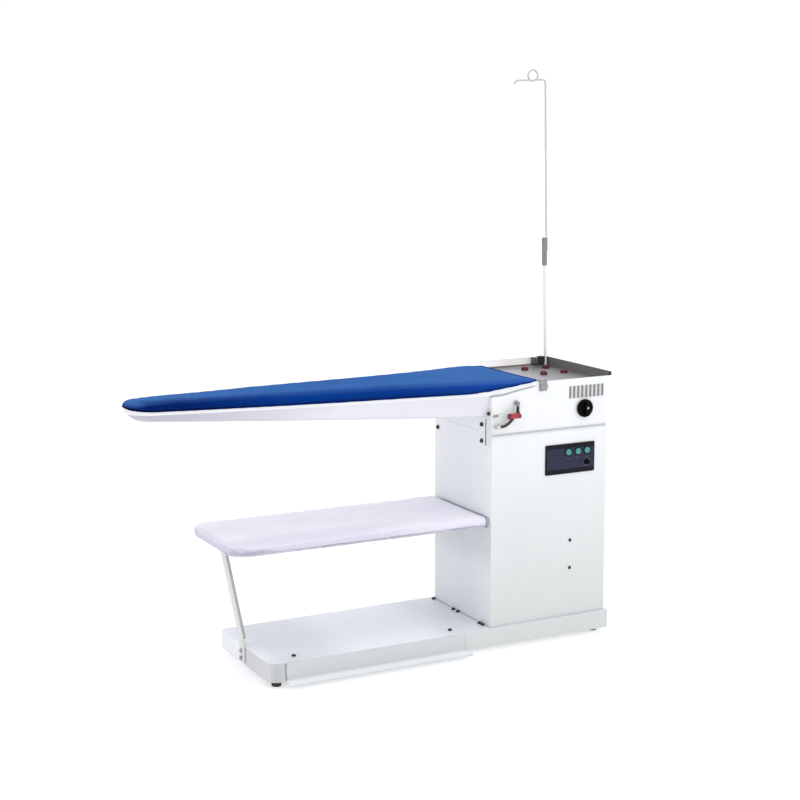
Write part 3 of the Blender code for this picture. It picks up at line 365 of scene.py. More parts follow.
def cloth_blue():
    """Padded ironing cover: tight twill; painted light and shade make it lighter on top and deep blue where it rolls
    over the side, deepest at the nose and lighter at the right end.
    """
    top = (0.032, 0.122, 0.385)
    m = Mat("cover_blue", top, 0.95)
    m.p.inputs["Specular IOR Level"].default_value = 0.03
    at = m.place()
    ramp = m.node("ShaderNodeAttribute", attribute_name="roll").outputs["Fac"]
    crown = m.node("ShaderNodeAttribute", attribute_name="crown").outputs["Fac"]
    nose = m.rng(at[0], -0.62, -0.30, 1.0, 0.0)
    right = m.rng(at[0], 0.05, 0.32, 0.0, 1.0)
    cloud = m.noise(7.0, 4.0, 0.6, m.co((1.0, 2.6, 1.0)))
    slub = m.noise(1.0, 2.0, 0.6, m.co((45, 700, 700)))
    tcol = m.mix(m.rng(cloud, 0.3, 0.7, 0, 1), tint(top, 0.90), tint(top, 1.07))
    # painted light: the top is lightened towards the nose and the right end
    tcol = m.mix(m.math("MULTIPLY", m.math("MAXIMUM", nose, right), 0.8), tcol, m.mix(1.0, tcol, (1.30, 1.13, 1.05), "MULTIPLY"))
    # painted shade of the side: deepest at the nose, lightest at the right end
    mid = m.mix(right, m.mix(nose, (0.0011, 0.035, 0.222), (0.0005, 0.0138, 0.120)), (0.0080, 0.050, 0.300))
    deep = m.mix(right, m.mix(nose, (0.0005, 0.0130, 0.108), (0.0002, 0.0042, 0.060)), (0.0025, 0.028, 0.165))
    # painted shade: roll darkens the side, crown gives the flat top the lighter colour
    c = m.mix(m.rng(ramp, 0.0, 0.75, 0.0, 1.0), deep, mid)
    c = m.mix(crown, c, tcol)
    c = m.mix(m.rng(slub, 0.35, 0.7, 0, 0.25), c, m.mix(1.0, c, (1.5, 1.35, 1.2), "MULTIPLY"))
    m.color(c)
    h = weave(m, 0.0011, 0.5)
    soft = m.noise(26.0, 3.0, 0.55, m.co((0.7, 1.4, 1.4)))
    m.normal(m.bump(h, 0.35, 0.00035, m.bump(soft, 0.18, 0.004)))
    m.rough(m.rng(slub, 0.3, 0.7, 0.88, 0.99))
    return m


def cloth_white():
    """Cotton sleeve: plain weave, a faint cool tint as painted cool light, soft rumples, and painted shade where it
    turns down, slopes, on its front strip and at the left end's lower front.
    """
    rgb = (0.86, 0.86, 0.92)
    m = Mat("cotton_white", rgb, 0.95)
    m.p.inputs["Specular IOR Level"].default_value = 0.15
    cloud = m.noise(9.0, 4.0, 0.6)
    slub = m.noise(1.0, 2.0, 0.6, m.co((50, 800, 800)))
    c = m.mix(m.rng(cloud, 0.3, 0.7, 0, 1), (0.85, 0.84, 0.92), (0.90, 0.90, 0.95))
    c = m.mix(m.rng(slub, 0.4, 0.75, 0, 0.15), c, (0.70, 0.70, 0.80))
    nz = m.normal_z()[2]
    # painted shade: faces turned down or sloped are greyed, more towards the left
    under = m.rng(nz, -0.3, 0.4, 1.0, 0.0)
    under = m.math("MULTIPLY", under, m.rng(m.place()[0], -0.44, -0.16, 0.95, 0.55))
    under = m.math("MAXIMUM", under, m.math("MULTIPLY", m.rng(nz, 0.40, 0.985, 0.66, 0.0), m.rng(m.place()[0], 0.0, 0.22, 1.0, 0.35)))
    # painted shade on the sleeve's front strip, strongest in its left half
    lap = m.rng(m.place()[1], (143.0 - YC) * 0.001, (253.0 - YC) * 0.001, 0.42, 0.0, smooth=True)
    lap = m.math("MULTIPLY", lap, m.rng(m.place()[0], -0.15, 0.15, 1.0, 0.12, smooth=True))
    under = m.math("MAXIMUM", under, lap)
    c = m.mix(under, c, (0.54, 0.54, 0.66))
    # painted shade on the lower front faces at the left end
    toe = m.math("MULTIPLY", m.rng(nz, -0.2, 0.45, 0.75, 0.0), m.rng(m.place()[0], -0.43, -0.37, 1.0, 0.0, smooth=True))
    toe = m.math("MULTIPLY", toe, m.rng(m.normal_z()[1], -0.75, -0.40, 1.0, 0.0))
    c = m.mix(toe, c, (0.36, 0.36, 0.46))
    m.color(c)
    h = weave(m, 0.0012, 0.5)
    soft = m.noise(14.0, 3.0, 0.55)
    m.normal(m.bump(h, 0.3, 0.0004, m.bump(soft, 0.25, 0.006)))
    m.rough(m.rng(slub, 0.3, 0.7, 0.88, 0.98))
    m.p.inputs["Sheen Weight"].default_value = 0.04
    return m


def film(name, rgb):
    """Printed front film: fine matt texture."""
    m = Mat(name, rgb, 0.32)
    n = m.noise(520.0, 2.0)
    m.color(m.mix(m.rng(n, 0.3, 0.7, 0, 1), tint(rgb, 0.85), tint(rgb, 1.15)))
    m.rough(m.rng(n, 0.3, 0.7, 0.28, 0.42))
    m.normal(m.bump(n, 0.08, 0.0003))
    m.p.inputs["Specular IOR Level"].default_value = 0.18
    return m


def lamp(name, rgb, glow, strength):
    """Translucent lit plastic: brighter towards the middle of the cap, dark at its rim."""
    m = Mat(name, rgb, 0.22)
    m.p.inputs["Specular IOR Level"].default_value = 0.3
    n = m.noise(180.0, 2.0)
    if m._co is None:
        m.co()
    ln = m.node("ShaderNodeVectorMath", operation="LENGTH")
    m.link(m._co.outputs["Object"], ln.inputs[0])
    mid = m.rng(ln.outputs["Value"], 0.0045, 0.0100, 1.0, 0.0, smooth=True)
    m.color(m.mix(mid, tint(rgb, 0.25), m.mix(m.rng(n, 0.3, 0.7, 0, 1), tint(rgb, 0.8), tint(rgb, 1.2))))
    m.link(m.mix(mid, tint(glow, 0.10), m.mix(m.rng(n, 0.3, 0.7, 0, 1), tint(glow, 0.8), glow)), m.p.inputs["Emission Color"])
    m.p.inputs["Emission Strength"].default_value = strength
    m.rough(m.rng(n, 0.3, 0.7, 0.18, 0.3))
    m.p.inputs["Coat Weight"].default_value = 0.4
    return m


def tray_steel():
    """Tray sheet: brushed along the tray; the right wall and the flange at the right end are darkened as a painted
    reflection, and the back wall is near white with a painted glow.
    """
    rgb = (0.275, 0.280, 0.276)
    m = Mat("tray_steel", rgb, 0.42, 0.35)
    m.p.inputs["Specular IOR Level"].default_value = 0.3
    scr = m.noise(1.0, 4.0, 0.7, m.co((12, 1200, 1200)))
    cloud = m.noise(18.0, 3.0, 0.6)
    n, at = m.normal_z(), m.place()
    far = m.rng(at[0], 0.60, 0.62, 0.0, 1.0)
    right = m.math("MULTIPLY", m.rng(n[0], -0.9, -0.5, 1.0, 0.0), far)
    front = m.rng(n[1], -0.97, -0.85, 1.0, 0.0)
    back = m.math("MULTIPLY", m.math("MULTIPLY", front, m.rng(at[1], 0.140, 0.150, 0.0, 1.0)), m.rng(at[2], 0.8445, 0.8460, 0.0, 1.0))
    post = m.math("MULTIPLY", front, m.rng(at[1], -0.120, -0.130, 0.0, 1.0))
    bench = m.math("MULTIPLY", m.rng(n[1], -0.83, -0.78, 0.0, 1.0), m.rng(n[1], -0.55, -0.45, 1.0, 0.0))
    bench = m.math("MULTIPLY", bench, m.rng(at[2], 0.8395, 0.8410, 0.0, 1.0))
    up = m.rng(n[2], 0.9, 0.97, 0.0, 1.0)
    near = m.math("MULTIPLY", up, m.rng(at[0], 0.52, 0.70, 1.0, 0.0, smooth=True))
    edge = m.rng(at[0], (TRAY_X1 - XC) * 0.001 - 0.0006, (TRAY_X1 - XC) * 0.001 + 0.0006, 0.0, 1.0)
    c = m.mix(m.rng(scr, 0.25, 0.75, 0, 1), tint(rgb, 0.90), tint(rgb, 1.10))
    c = m.mix(m.rng(cloud, 0.35, 0.75, 0, 0.25), c, tint(rgb, 0.84))
    c = m.mix(m.math("MULTIPLY", near, 0.62), c, (0.58, 0.52, 0.66))
    # painted reflection: the right wall's inner face and the front faces at the right end are darkened
    c = m.mix(m.math("MULTIPLY", m.math("MAXIMUM", right, m.math("MULTIPLY", post, far)), 0.92), c, (0.150, 0.147, 0.147))
    c = m.mix(m.math("MULTIPLY", back, 0.97), c, (0.97, 0.96, 0.93))
    c = m.mix(m.math("MULTIPLY", bench, 0.95), c, (0.120, 0.114, 0.105))
    c = m.mix(m.math("MULTIPLY", edge, 0.97), c, (0.030, 0.030, 0.028))
    m.color(c)
    dull = m.math("MAXIMUM", m.math("MAXIMUM", bench, edge), right)
    m.link(m.math("ADD", m.math("MULTIPLY", m.math("SUBTRACT", 1.0, dull), 0.35), m.math("MULTIPLY", back, 0.5), clamp=True), m.p.inputs["Metallic"])
    # painted light: the back wall glows
    m.p.inputs["Emission Color"].default_value = (1.0, 0.99, 0.96, 1)
    m.link(m.math("MULTIPLY", back, 0.27), m.p.inputs["Emission Strength"])
    m.rough(m.rng(scr, 0.2, 0.8, 0.34, 0.5))
    m.normal(m.bump(scr, 0.1, 0.0003))
    return m


def casing_paint(name, rgb):
    """Powder coat of the casing: darker round the vent slots, with painted shade along its lower edge above the seam.
    """
    m = paint(name, rgb, foot=0.75)
    c = m.p.inputs["Base Color"].links[0].from_socket
    n, at = m.normal_z(), m.place()
    face = m.rng(n[1], -0.97, -0.90, 1.0, 0.0)
    x0, x1 = (283.0 - XC) * 0.001, (409.0 - XC) * 0.001
    wide = m.math("MULTIPLY", m.rng(at[0], x0 - 0.003, x0 + 0.002, 0.0, 1.0), m.rng(at[0], x1 - 0.002, x1 + 0.003, 1.0, 0.0))
    tall = m.math("MULTIPLY", m.rng(at[2], 0.784, 0.789, 0.0, 1.0), m.rng(at[2], 0.823, 0.829, 1.0, 0.0))
    # painted shade along the casing's lower edge, above the seam
    foot = m.rng(at[2], 0.698, 0.703, 0.10, 0.0)
    k = m.math("ADD", m.math("MULTIPLY", m.math("MULTIPLY", wide, tall), 0.27), foot)
    m.color(m.mix(m.math("MULTIPLY", face, k), c, (0.05, 0.05, 0.05)))
    return m


def tub_paint(name, rgb):
    """Powder coat of the tub, greyer towards the nose where the sheet turns under: painted shade."""
    m = paint(name, rgb)
    c = m.p.inputs["Base Color"].links[0].from_socket
    # painted shade towards the nose
    k = m.rng(m.place()[0], -0.66, -0.17, 1.0, 0.0)
    m.color(m.mix(k, c, m.mix(1.0, c, (0.66, 0.645, 0.67), "MULTIPLY")))
    return m


def bracket_cast(name):
    """Cast mast bracket: the left post is lighter than the block behind the tube."""
    m = cast(name, (0.040, 0.042, 0.040), 0.5)
    c = m.p.inputs["Base Color"].links[0].from_socket
    edge = (380.0 - XC) * 0.001
    left = m.rng(m.place()[0], edge - 0.001, edge + 0.001, 1.0, 0.0)
    m.color(m.mix(left, c, m.mix(1.0, c, (2.9, 3.0, 2.8), "MULTIPLY")))
    return m


def lever_red(name):
    """Moulded red lever, darker at the thick grip end and round the hub."""
    m = plastic(name, (0.40, 0.032, 0.050), 0.38, 900, 0.05)
    c = m.p.inputs["Base Color"].links[0].from_socket
    sx = m.node("ShaderNodeSeparateXYZ")
    m.link(m.co(), sx.inputs[0])
    grip = m.rng(sx.outputs[0], 0.3855, 0.3925, 1.0, 0.0)
    hub = m.rng(sx.outputs[0], 0.4050, 0.4130, 0.0, 1.0)
    c = m.mix(m.math("MULTIPLY", grip, 0.90), c, (0.120, 0.005, 0.009))
    c = m.mix(m.math("MULTIPLY", hub, 0.80), c, (0.20, 0.020, 0.018))
    m.color(c)
    return m


def strut_paint(name, rgb):
    """Powder coat of the angle iron; its inner side is darkened as painted shade."""
    m = paint(name, rgb)
    src = m.p.inputs["Base Color"].links[0].from_socket
    n = m.normal_z()
    # painted shade on the inner side, which faces the front
    inside = m.rng(n[1], -0.95, -0.6, 1.0, 0.0)
    m.color(m.mix(m.math("MULTIPLY", inside, 0.9), src, (0.45, 0.455, 0.45)))
    return m


def elbow_zinc(name):
    """Light cap nut against the casing, dull grey leg in front of it."""
    m = zinc(name, (0.30, 0.30, 0.30), 0.5)
    src = m.p.inputs["Base Color"].links[0].from_socket
    at = m.place()
    y0 = (CAB_Y0 - 6.3 - YC) * 0.001
    near = m.rng(at[1], y0 - 0.0003, y0 + 0.0003, 0.0, 1.0)
    m.color(m.mix(near, src, (0.66, 0.67, 0.68)))
    m.link(m.rng(near, 0.0, 1.0, 0.7, 0.1), m.p.inputs["Metallic"])
    return m


TRAY_X1 = 424.0
WHITE = (0.83, 0.845, 0.855)
MATS = {
    "paint": paint("coat_white", WHITE, foot=0.75),
    "base_paint": base_paint("coat_base", WHITE),
    "cab_paint": cabinet_paint("coat_cabinet", WHITE),
    "casing_paint": casing_paint("coat_casing", WHITE),
    # the tub's coat is the white coat made darker and cooler: painted shade
    "tub_paint": tub_paint("coat_tub", (0.735, 0.735, 0.80)),
    "pedal_paint": paint("coat_pedal", (WHITE[0] * 0.975, WHITE[1] * 0.99, WHITE[2] * 1.02), foot=0.80),
    "mast_paint": paint("coat_mast", (0.86, 0.86, 0.86)),
    "rod_paint": paint("coat_rod", (0.52, 0.52, 0.52)),
    "strut_paint": strut_paint("coat_strut", (0.69, 0.695, 0.69)),
    "grey_paint": paint("coat_grey", (0.74, 0.76, 0.755), 0.45),
    # the joint frame in the recess between casing and cabinet is greyed: painted shade of the recess
    "seam": paint("coat_seam", (0.56, 0.58, 0.58), 0.5),
    "tray": tray_steel(),
    "zinc": zinc("zinc_plate"),
    "clip": zinc("zinc_dull", (0.33, 0.33, 0.345), 0.5),
    "barb": zinc("barb_light", (0.66, 0.67, 0.67), 0.45),
    "elbow": elbow_zinc("elbow_zinc"),
    "steel": brushed("steel_brushed", (0.45, 0.46, 0.46), 0.32),
    "alu": cast("fan_alloy", (0.5, 0.51, 0.52), 0.42),
    "cast": cast("cast_grey", (0.040, 0.042, 0.040), 0.5),
    "bracket": bracket_cast("cast_bracket"),
    "rubber": rubber("foot_rubber"),
    "hose": rubber("hose_rubber", (0.014, 0.015, 0.014), 0.5),
    "black": plastic("black_moulded", (0.012, 0.012, 0.013), 0.34),
    "knob": plastic("knob_black", (0.0018, 0.0018, 0.0020), 0.45, 900, 0.06, 0.06),
    "knob_dot": plastic("knob_dot", (0.36, 0.36, 0.36), 0.5, 900, 0.06),
    # painted shade seen through the vent slots
    "vent_shade": film("vent_shade_sheet", (0.235, 0.231, 0.232)),
    "blacksteel": plastic("black_oxide", (0.016, 0.016, 0.018), 0.42, 900, 0.06),
    "panel": film("panel_black", (0.003, 0.003, 0.008)),
    "film": film("panel_film", (0.022, 0.024, 0.052)),
    "lamp": lamp("lamp_green", (0.03, 0.26, 0.24), (0.11, 0.50, 0.48), 4.5),
    "red": lever_red("red_moulded"),
    "stud": rubber("stud_red", (0.085, 0.003, 0.006), 0.5),
    "grey_plastic": plastic("grey_moulded", (0.235, 0.235, 0.235), 0.45, spec=0.3),
    "heater": brushed("heater_steel", (0.22, 0.21, 0.21), 0.42),
    "spring": brushed("spring_steel", (0.45, 0.45, 0.46), 0.28),
    "ink": film("label_ink", (0.17, 0.165, 0.20)),
    "sign": film("sign_ink", (0.10, 0.34, 0.32)),
    "foot_strip": rubber("cabinet_foot_strip_grey", (0.30, 0.32, 0.34), 0.7),
    # painted shade: grey and dark strips set in gaps and shadow lines
    "painted_shade_grey": rubber("painted_shade_grey", (0.33, 0.335, 0.34), 0.7),
    "painted_shade_dark": rubber("painted_shade_dark", (0.14, 0.145, 0.155), 0.7),
    "end_shade": rubber("end_shade_grey", (0.30, 0.30, 0.34), 0.8),
    "front_shade": plastic("front_shade_grey", (0.50, 0.50, 0.57), 0.9, 1500, 0.2, 0.1),
    "tab": zinc("tab_dull", (0.36, 0.365, 0.36), 0.55),
    "thread": plastic("thread_blue", (0.01, 0.05, 0.26), 0.8, 1500, 0.2),
    "thread_white": plastic("thread_white", (0.66, 0.66, 0.74), 0.85, 1500, 0.2),
}
BLUE, COTTON = cloth_blue(), cloth_white()

LOOK = {
    "base_paint": ["base_pan"],
    "cab_paint": ["cabinet_shell"],
    "paint": ["board_rim", "cabinet_back_panel", "shelf_cleat", "shelf_frame"],
    "casing_paint": ["top_casing"],
    "pedal_paint": ["pedal_plate"],
    "bracket": ["mast_bracket"],
    "tub_paint": ["board_tub"],
    "mast_paint": ["mast_tube"],
    "rod_paint": ["mast_rod"],
    "strut_paint": ["shelf_strut"],
    "clip": ["tray_clip"],
    "barb": ["hose_barb"],
    "elbow": ["valve_elbow"],
    "grey_paint": ["valve_plate"],
    "seam": ["joint_frame"],
    "tray": ["iron_tray"],
    "zinc": ["fan_housing", "motor_bracket", "pedal_bracket_left", "pedal_bracket_right",
             "pedal_hinge_rod", "strut_bolt_lower", "strut_bolt_upper"],
    "steel": ["board_plate"],
    "alu": ["fan_impeller"],
    "cast": ["fan_motor"],
    "rubber": ["foot_front_left", "foot_front_right", "foot_rear_left", "foot_rear_right"],
    "hose": ["valve_hose"],
    "black": ["cable_gland", "pedal_switch", "valve_body"],
    "knob": ["thermostat_knob", "fuse_cap"],
    "blacksteel": ["front_screw_lower", "front_screw_upper", "side_screw_front", "side_screw_rear",
                   "pedal_screw_left", "pedal_screw_right"],
    "panel": ["control_panel"],
    "lamp": ["switch_rocker_1", "switch_rocker_2", "switch_rocker_3"],
    "red": ["valve_lever"],
    "stud": ["rest_stud_1", "rest_stud_2", "rest_stud_3", "rest_stud_4"],
    "grey_plastic": ["mast_coupling", "thermostat_body"],
    "heater": ["board_heater"],
    "spring": ["pedal_spring"],
}
for key, names in LOOK.items():
    for n in names:
        NODES[n].data.materials.clear()
        NODES[n].data.materials.append(MATS[key].m)
for n, m in (("board_pad", BLUE), ("shelf_cloth", COTTON)):
    NODES[n].data.materials.clear()
    NODES[n].data.materials.append(m.m)


# ---------------------------------------------------------------------- mesh helpers
def dress(node, width=None, segments=2, angle=35.0, smooth=None):
    """Welds a CAD node's facets, joins its flat triangles and rounds its edges."""
    ob = NODES[node]
    w = ob.modifiers.new("weld", "WELD")
    w.merge_threshold = 0.000002
    if width:
        d = ob.modifiers.new("flat", "DECIMATE")
        d.decimate_type = "DISSOLVE"
        d.angle_limit = math.radians(0.4)
        b = ob.modifiers.new("edge", "BEVEL")
        b.width = width * 0.001
        b.segments = segments
        b.limit_method = "ANGLE"
        b.angle_limit = math.radians(angle)
        b.use_clamp_overlap = True
        b.harden_normals = False
        b.miter_outer = "MITER_ARC"
    if smooth:
        ob.data.shade_smooth()
    return ob


def put(name, bm, mat, body=root, smooth=30):
    """bmesh in metres to a piece that rides on a body."""
    bmesh.ops.recalc_face_normals(bm, faces=bm.faces)
    me = bpy.data.meshes.new(name)
    bm.to_mesh(me)
    bm.free()
    if smooth:
        me.shade_smooth()
        me.set_sharp_from_angle(angle=math.radians(smooth))
    me.materials.append(mat.m)
    ob = bpy.data.objects.new(name, me)
    scene.collection.objects.link(ob)
    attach(ob, body)
    return ob


def axes(normal):
    n = Vector(normal).normalized()
    u = n.orthogonal().normalized()
    if abs(n.z) < 0.9:
        u = Vector((0, 0, 1)).cross(n).normalized()
    return u, n.cross(u).normalized(), n


def lathe_on(bm, centre, normal, prof, n=28):
    """Revolve (radius, height) in millimetres about a normal at a point in metres."""
    u, v, w = axes(normal)
    c = Vector(centre)
    rows = []
    for r, t in prof:
        if r < 1e-6:
            rows.append([bm.verts.new(c + w * t * 0.001)])
        else:
            rows.append([bm.verts.new(c + (u * math.cos(a) + v * math.sin(a)) * r * 0.001 + w * t * 0.001)
                         for a in (math.tau * k / n for k in range(n))])
    for a, b in zip(rows, rows[1:]):
        for i in range(n):
            j = (i + 1) % n
            if len(a) == 1 and len(b) == 1:
                continue
            if len(a) == 1:
                bm.faces.new((a[0], b[i], b[j]))
            elif len(b) == 1:
                bm.faces.new((a[i], b[0], a[j]))
            else:
                bm.faces.new((a[i], b[i], b[j], a[j]))
    return bm


def cutter(name, bm):
    me = bpy.data.meshes.new(name)
    bmesh.ops.recalc_face_normals(bm, faces=bm.faces)
    bm.to_mesh(me)
    bm.free()
    ob = bpy.data.objects.new(name, me)
    scene.collection.objects.link(ob)
    return ob


def settle(ob):
    """Turns an object's modifiers into its mesh."""
    dg = bpy.context.evaluated_depsgraph_get()
    me = bpy.data.meshes.new_from_object(ob.evaluated_get(dg), preserve_all_data_layers=True, depsgraph=dg)
    ob.modifiers.clear()
    ob.data = me
    return ob


def cross_screw(name, point, normal, r, h, mat, body=root, replaces=None, turn=0.4, washer=None):
    """Pan-head screw with a cross recess. point is in working millimetres on the sheet."""
    c = W(*point)
    u, v, n = axes(normal)
    prof = [(0, -1.2), (r * 0.45, -1.2), (r * 0.45, 0.0), (r, 0.05), (r, h * 0.35), (r * 0.93, h * 0.62), (r * 0.72, h * 0.86),
            (r * 0.4, h * 0.98), (0, h)]
    bm = bmesh.new()
    lathe_on(bm, c, normal, prof, 28)
    if washer:
        lathe_on(bm, c, normal, [(r * 0.6, 0.02), (washer, 0.02), (washer, 0.75), (washer - 0.35, 0.95), (r * 0.6, 0.95), (r * 0.6, 0.02)], 28)
    ob = put(name, bm, mat, body, 35)
    tool = bmesh.new()
    for k in range(2):
        a = turn + k * math.pi / 2
        d1 = u * math.cos(a) + v * math.sin(a)
        d2 = n.cross(d1)
        L, t = r * 0.62, r * 0.13
        co = []
        for s3, sc in ((h * 0.35, 0.45), (h + 1.0, 1.0)):
            for s1, s2 in ((-1, -1), (1, -1), (1, 1), (-1, 1)):
                co.append(c + d1 * (s1 * L * sc * 0.001) + d2 * (s2 * t * 0.001) + n * (s3 * 0.001))
        vs = [tool.verts.new(p) for p in co]
        for f in ((0, 1, 2, 3), (4, 5, 6, 7), (0, 1, 5, 4), (1, 2, 6, 5), (2, 3, 7, 6), (3, 0, 4, 7)):
            tool.faces.new([vs[i] for i in f])
        if k == 0:
            t1 = cutter(name + "_c1", tool)
            tool = bmesh.new()
    t2 = cutter(name + "_c2", tool)
    for t in (t1, t2):
        m = ob.modifiers.new("cut", "BOOLEAN")
        m.operation = "DIFFERENCE"
        m.object = t
        m.solver = "EXACT"
    settle(ob)
    ob.data.shade_smooth()
    ob.data.set_sharp_from_angle(angle=math.radians(35))
    for t in (t1, t2):
        bpy.data.objects.remove(t, do_unlink=True)
    if replaces:
        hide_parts(replaces)
    return ob


def hex_bolt(name, point, normal, af, h, mat, body=root, replaces=None, washer=0.0, spin=0.2, tail=None):
    """Hexagon head with chamfered corners on a washer; tail is (radius, length) behind."""
    c = W(*point)
    u, v, n = axes(normal)
    bm = bmesh.new()
    base = 0.0
    if washer:
        lathe_on(bm, c, normal, [(0, 0.0), (washer, 0.0), (washer + 0.1, 0.15), (washer + 0.1, 1.1), (washer - 0.2, 1.3), (0, 1.3)], 32)
        base = 1.3
    rc = af / 2 / math.cos(math.pi / 6)
    rows = []
    for rr, t in ((rc, base), (rc, base + h - 0.5), (af / 2 * 0.93, base + h), (af / 2 * 0.45, base + h - 0.25)):
        rows.append([bm.verts.new(c + (u * math.cos(a) + v * math.sin(a)) * rr * 0.001 + n * t * 0.001)
                     for a in (spin + math.tau * k / 6 for k in range(6))])
    for a, b in zip(rows, rows[1:]):
        for i in range(6):
            j = (i + 1) % 6
            bm.faces.new((a[i], a[j], b[j], b[i]))
    bm.faces.new(rows[0])
    bm.faces.new(rows[-1])
    if tail:
        lathe_on(bm, c, tuple(-x for x in normal), [(0, 0), (tail[0], 0), (tail[0], tail[1] - 0.6), (tail[0] - 0.6, tail[1]), (0, tail[1])], 16)
    ob = put(name, bm, mat, body, 25)
    b = ob.modifiers.new("edge", "BEVEL")
    b.width = 0.00022
    b.segments = 2
    b.limit_method = "ANGLE"
    b.angle_limit = math.radians(28)
    if replaces:
        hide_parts(replaces)
    return ob


def tube(name, pts, radius, mat, body=root, cyclic=False, res=4, fill=True, swell=None):
    cu = bpy.data.curves.new(name, "CURVE")
    cu.dimensions = "3D"
    cu.bevel_depth = radius * 0.001
    cu.bevel_resolution = res
    cu.use_fill_caps = fill
    sp = cu.splines.new("POLY")
    sp.points.add(len(pts) - 1)
    for i, (q, p) in enumerate(zip(sp.points, pts)):
        q.co = (*p, 1.0)
        if swell:
            q.radius = swell[i]
    sp.use_cyclic_u = cyclic
    sp.use_smooth = True
    ob = bpy.data.objects.new(name, cu)
    scene.collection.objects.link(ob)
    cu.materials.append(mat.m)
    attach(ob, body)
    return ob


# ---------------------------------------------------------------- sheet metal dressing
for n, wd in (("cabinet_shell", 1.6), ("base_pan", 1.5), ("pedal_plate", 0.6), ("top_casing", 1.2), ("iron_tray", 0.5),
              ("control_panel", 0.5), ("shelf_strut", 0.5), ("valve_plate", 0.5), ("tray_clip", 0.5), ("mast_bracket", 0.8),
              ("shelf_cleat", 0.5)):
    dress(n, wd, 2)
dress("board_rim", 0.8, 2, 50)
dress("board_tub", 1.2, 2, 28)


# ------------------------------------------------------------------------ small pieces
cross_screw("screw_side_rear", (0, 449, 664), (-1, 0, 0), 7.0, 7.0, MATS["blacksteel"], replaces="side_screw_rear", washer=None)
cross_screw("screw_side_front", (0, 167, 668), (-1, 0, 0), 7.0, 7.0, MATS["blacksteel"], replaces="side_screw_front", turn=0.9)
cross_screw("screw_casing_side", (0, 167.4, 719.6), (-1, 0, 0), 7.0, 7.0, MATS["blacksteel"], turn=0.1)
cross_screw("screw_front_upper", (293, CAB_Y0, 327), (0, -1, 0), 5.4, 3.6, MATS["blacksteel"], replaces="front_screw_upper")
cross_screw("screw_front_lower", (293, CAB_Y0, 236), (0, -1, 0), 5.4, 3.6, MATS["blacksteel"], replaces="front_screw_lower", turn=1.0)
cross_screw("screw_pedal_left", (-659, 145, BASE_TOP), (0, 0, 1), 6.9, 5.6, MATS["blacksteel"], replaces="pedal_screw_left")
cross_screw("screw_pedal_right", (-125, 145, BASE_TOP), (0, 0, 1), 6.9, 5.6, MATS["blacksteel"], replaces="pedal_screw_right", turn=0.7)
hex_bolt("bolt_valve_plate", (-3.4, 118.5, 761), (-1, 0, 0), 9.5, 5.5, MATS["blacksteel"], washer=6.2)
for i, z in enumerate((60, 37)):
    hex_bolt(("bolt_strut_upper", "bolt_strut_lower")[i], (BASE_X0 - 3.4, 314, z), (-1, 0, 0), 11.0, 5.0, MATS["zinc"],
             replaces=("strut_bolt_upper", "strut_bolt_lower")[i], washer=7.6, spin=0.2 + 0.5 * i, tail=(3.7, 15.0))
# back of the cabinet: panel screws
for i, (x, z) in enumerate(((22, 100), (404, 100), (22, 370), (404, 370), (22, 640), (404, 640))):
    cross_screw("screw_back_%d" % (i + 1), (x, CAB_Y1 - 0.2, z), (0, 1, 0), 4.4, 2.6, MATS["zinc"], turn=0.35 * i)

# return spring of the pedal: a coil with closed ends
bm = bmesh.new()
mid = W(-392, 186, 0)
path = []
for k in range(181):
    t = k / 180.0
    a = math.tau * 6.5 * t
    rise = float(np.interp(t, (0.0, 0.13, 0.87, 1.0), (0.0, 0.06, 0.94, 1.0)))
    path.append(W(-392 + 8.5 * math.cos(a), 186 + 8.5 * math.sin(a), 38.7 + 35.3 * rise))
rows = []
for k, q in enumerate(path):
    d = (path[min(k + 1, 180)] - path[max(k - 1, 0)]).normalized()
    u = Vector((q.x - mid.x, q.y - mid.y, 0.0)).normalized()
    v = d.cross(u)
    rows.append([bm.verts.new(q + (u * math.cos(b) + v * math.sin(b)) * 0.00115) for b in (math.tau * j / 10 for j in range(10))])
for a, b in zip(rows, rows[1:]):
    for i in range(10):
        j = (i + 1) % 10
        bm.faces.new((a[i], a[j], b[j], b[i]))
bm.faces.new(rows[0])
bm.faces.new(rows[-1])
coil = put("pedal_spring_coil", bm, MATS["spring"], smooth=60)
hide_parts("pedal_spring")
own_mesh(coil)

# foot of the cabinet: dark strip along its left side, with bolt heads in three groups
bm = bmesh.new()
sec = [(-0.15, BASE_TOP + 0.05), (-1.7, BASE_TOP + 0.05), (-1.9, BASE_TOP + 0.9), (-1.5, BASE_TOP + 2.1), (-0.15, BASE_TOP + 2.5)]
loops = []
for y in (113.0, 114.0, 200.0, 290.0, 380.0, 470.5, 471.3):
    k = 0.75 if y in (113.0, 471.3) else 1.0
    loops.append([bm.verts.new(W(x * k, y, BASE_TOP + (z - BASE_TOP) * k)) for x, z in sec])
for a, b in zip(loops, loops[1:]):
    for i in range(len(sec)):
        j = (i + 1) % len(sec)
        bm.faces.new((a[i], a[j], b[j], b[i]))
bm.faces.new(loops[0])
bm.faces.new(loops[-1])
put("cabinet_foot_strip", bm, MATS["foot_strip"], smooth=40)
for i, y in enumerate((466.0, 333.0, 303.0, 163.0, 144.0)):
    hex_bolt("bolt_cabinet_foot_%d" % (i + 1), (-7.4, y, BASE_TOP), (0, 0, 1), 9.5, 5.0, MATS["blacksteel"], washer=6.4, spin=0.3 * i)


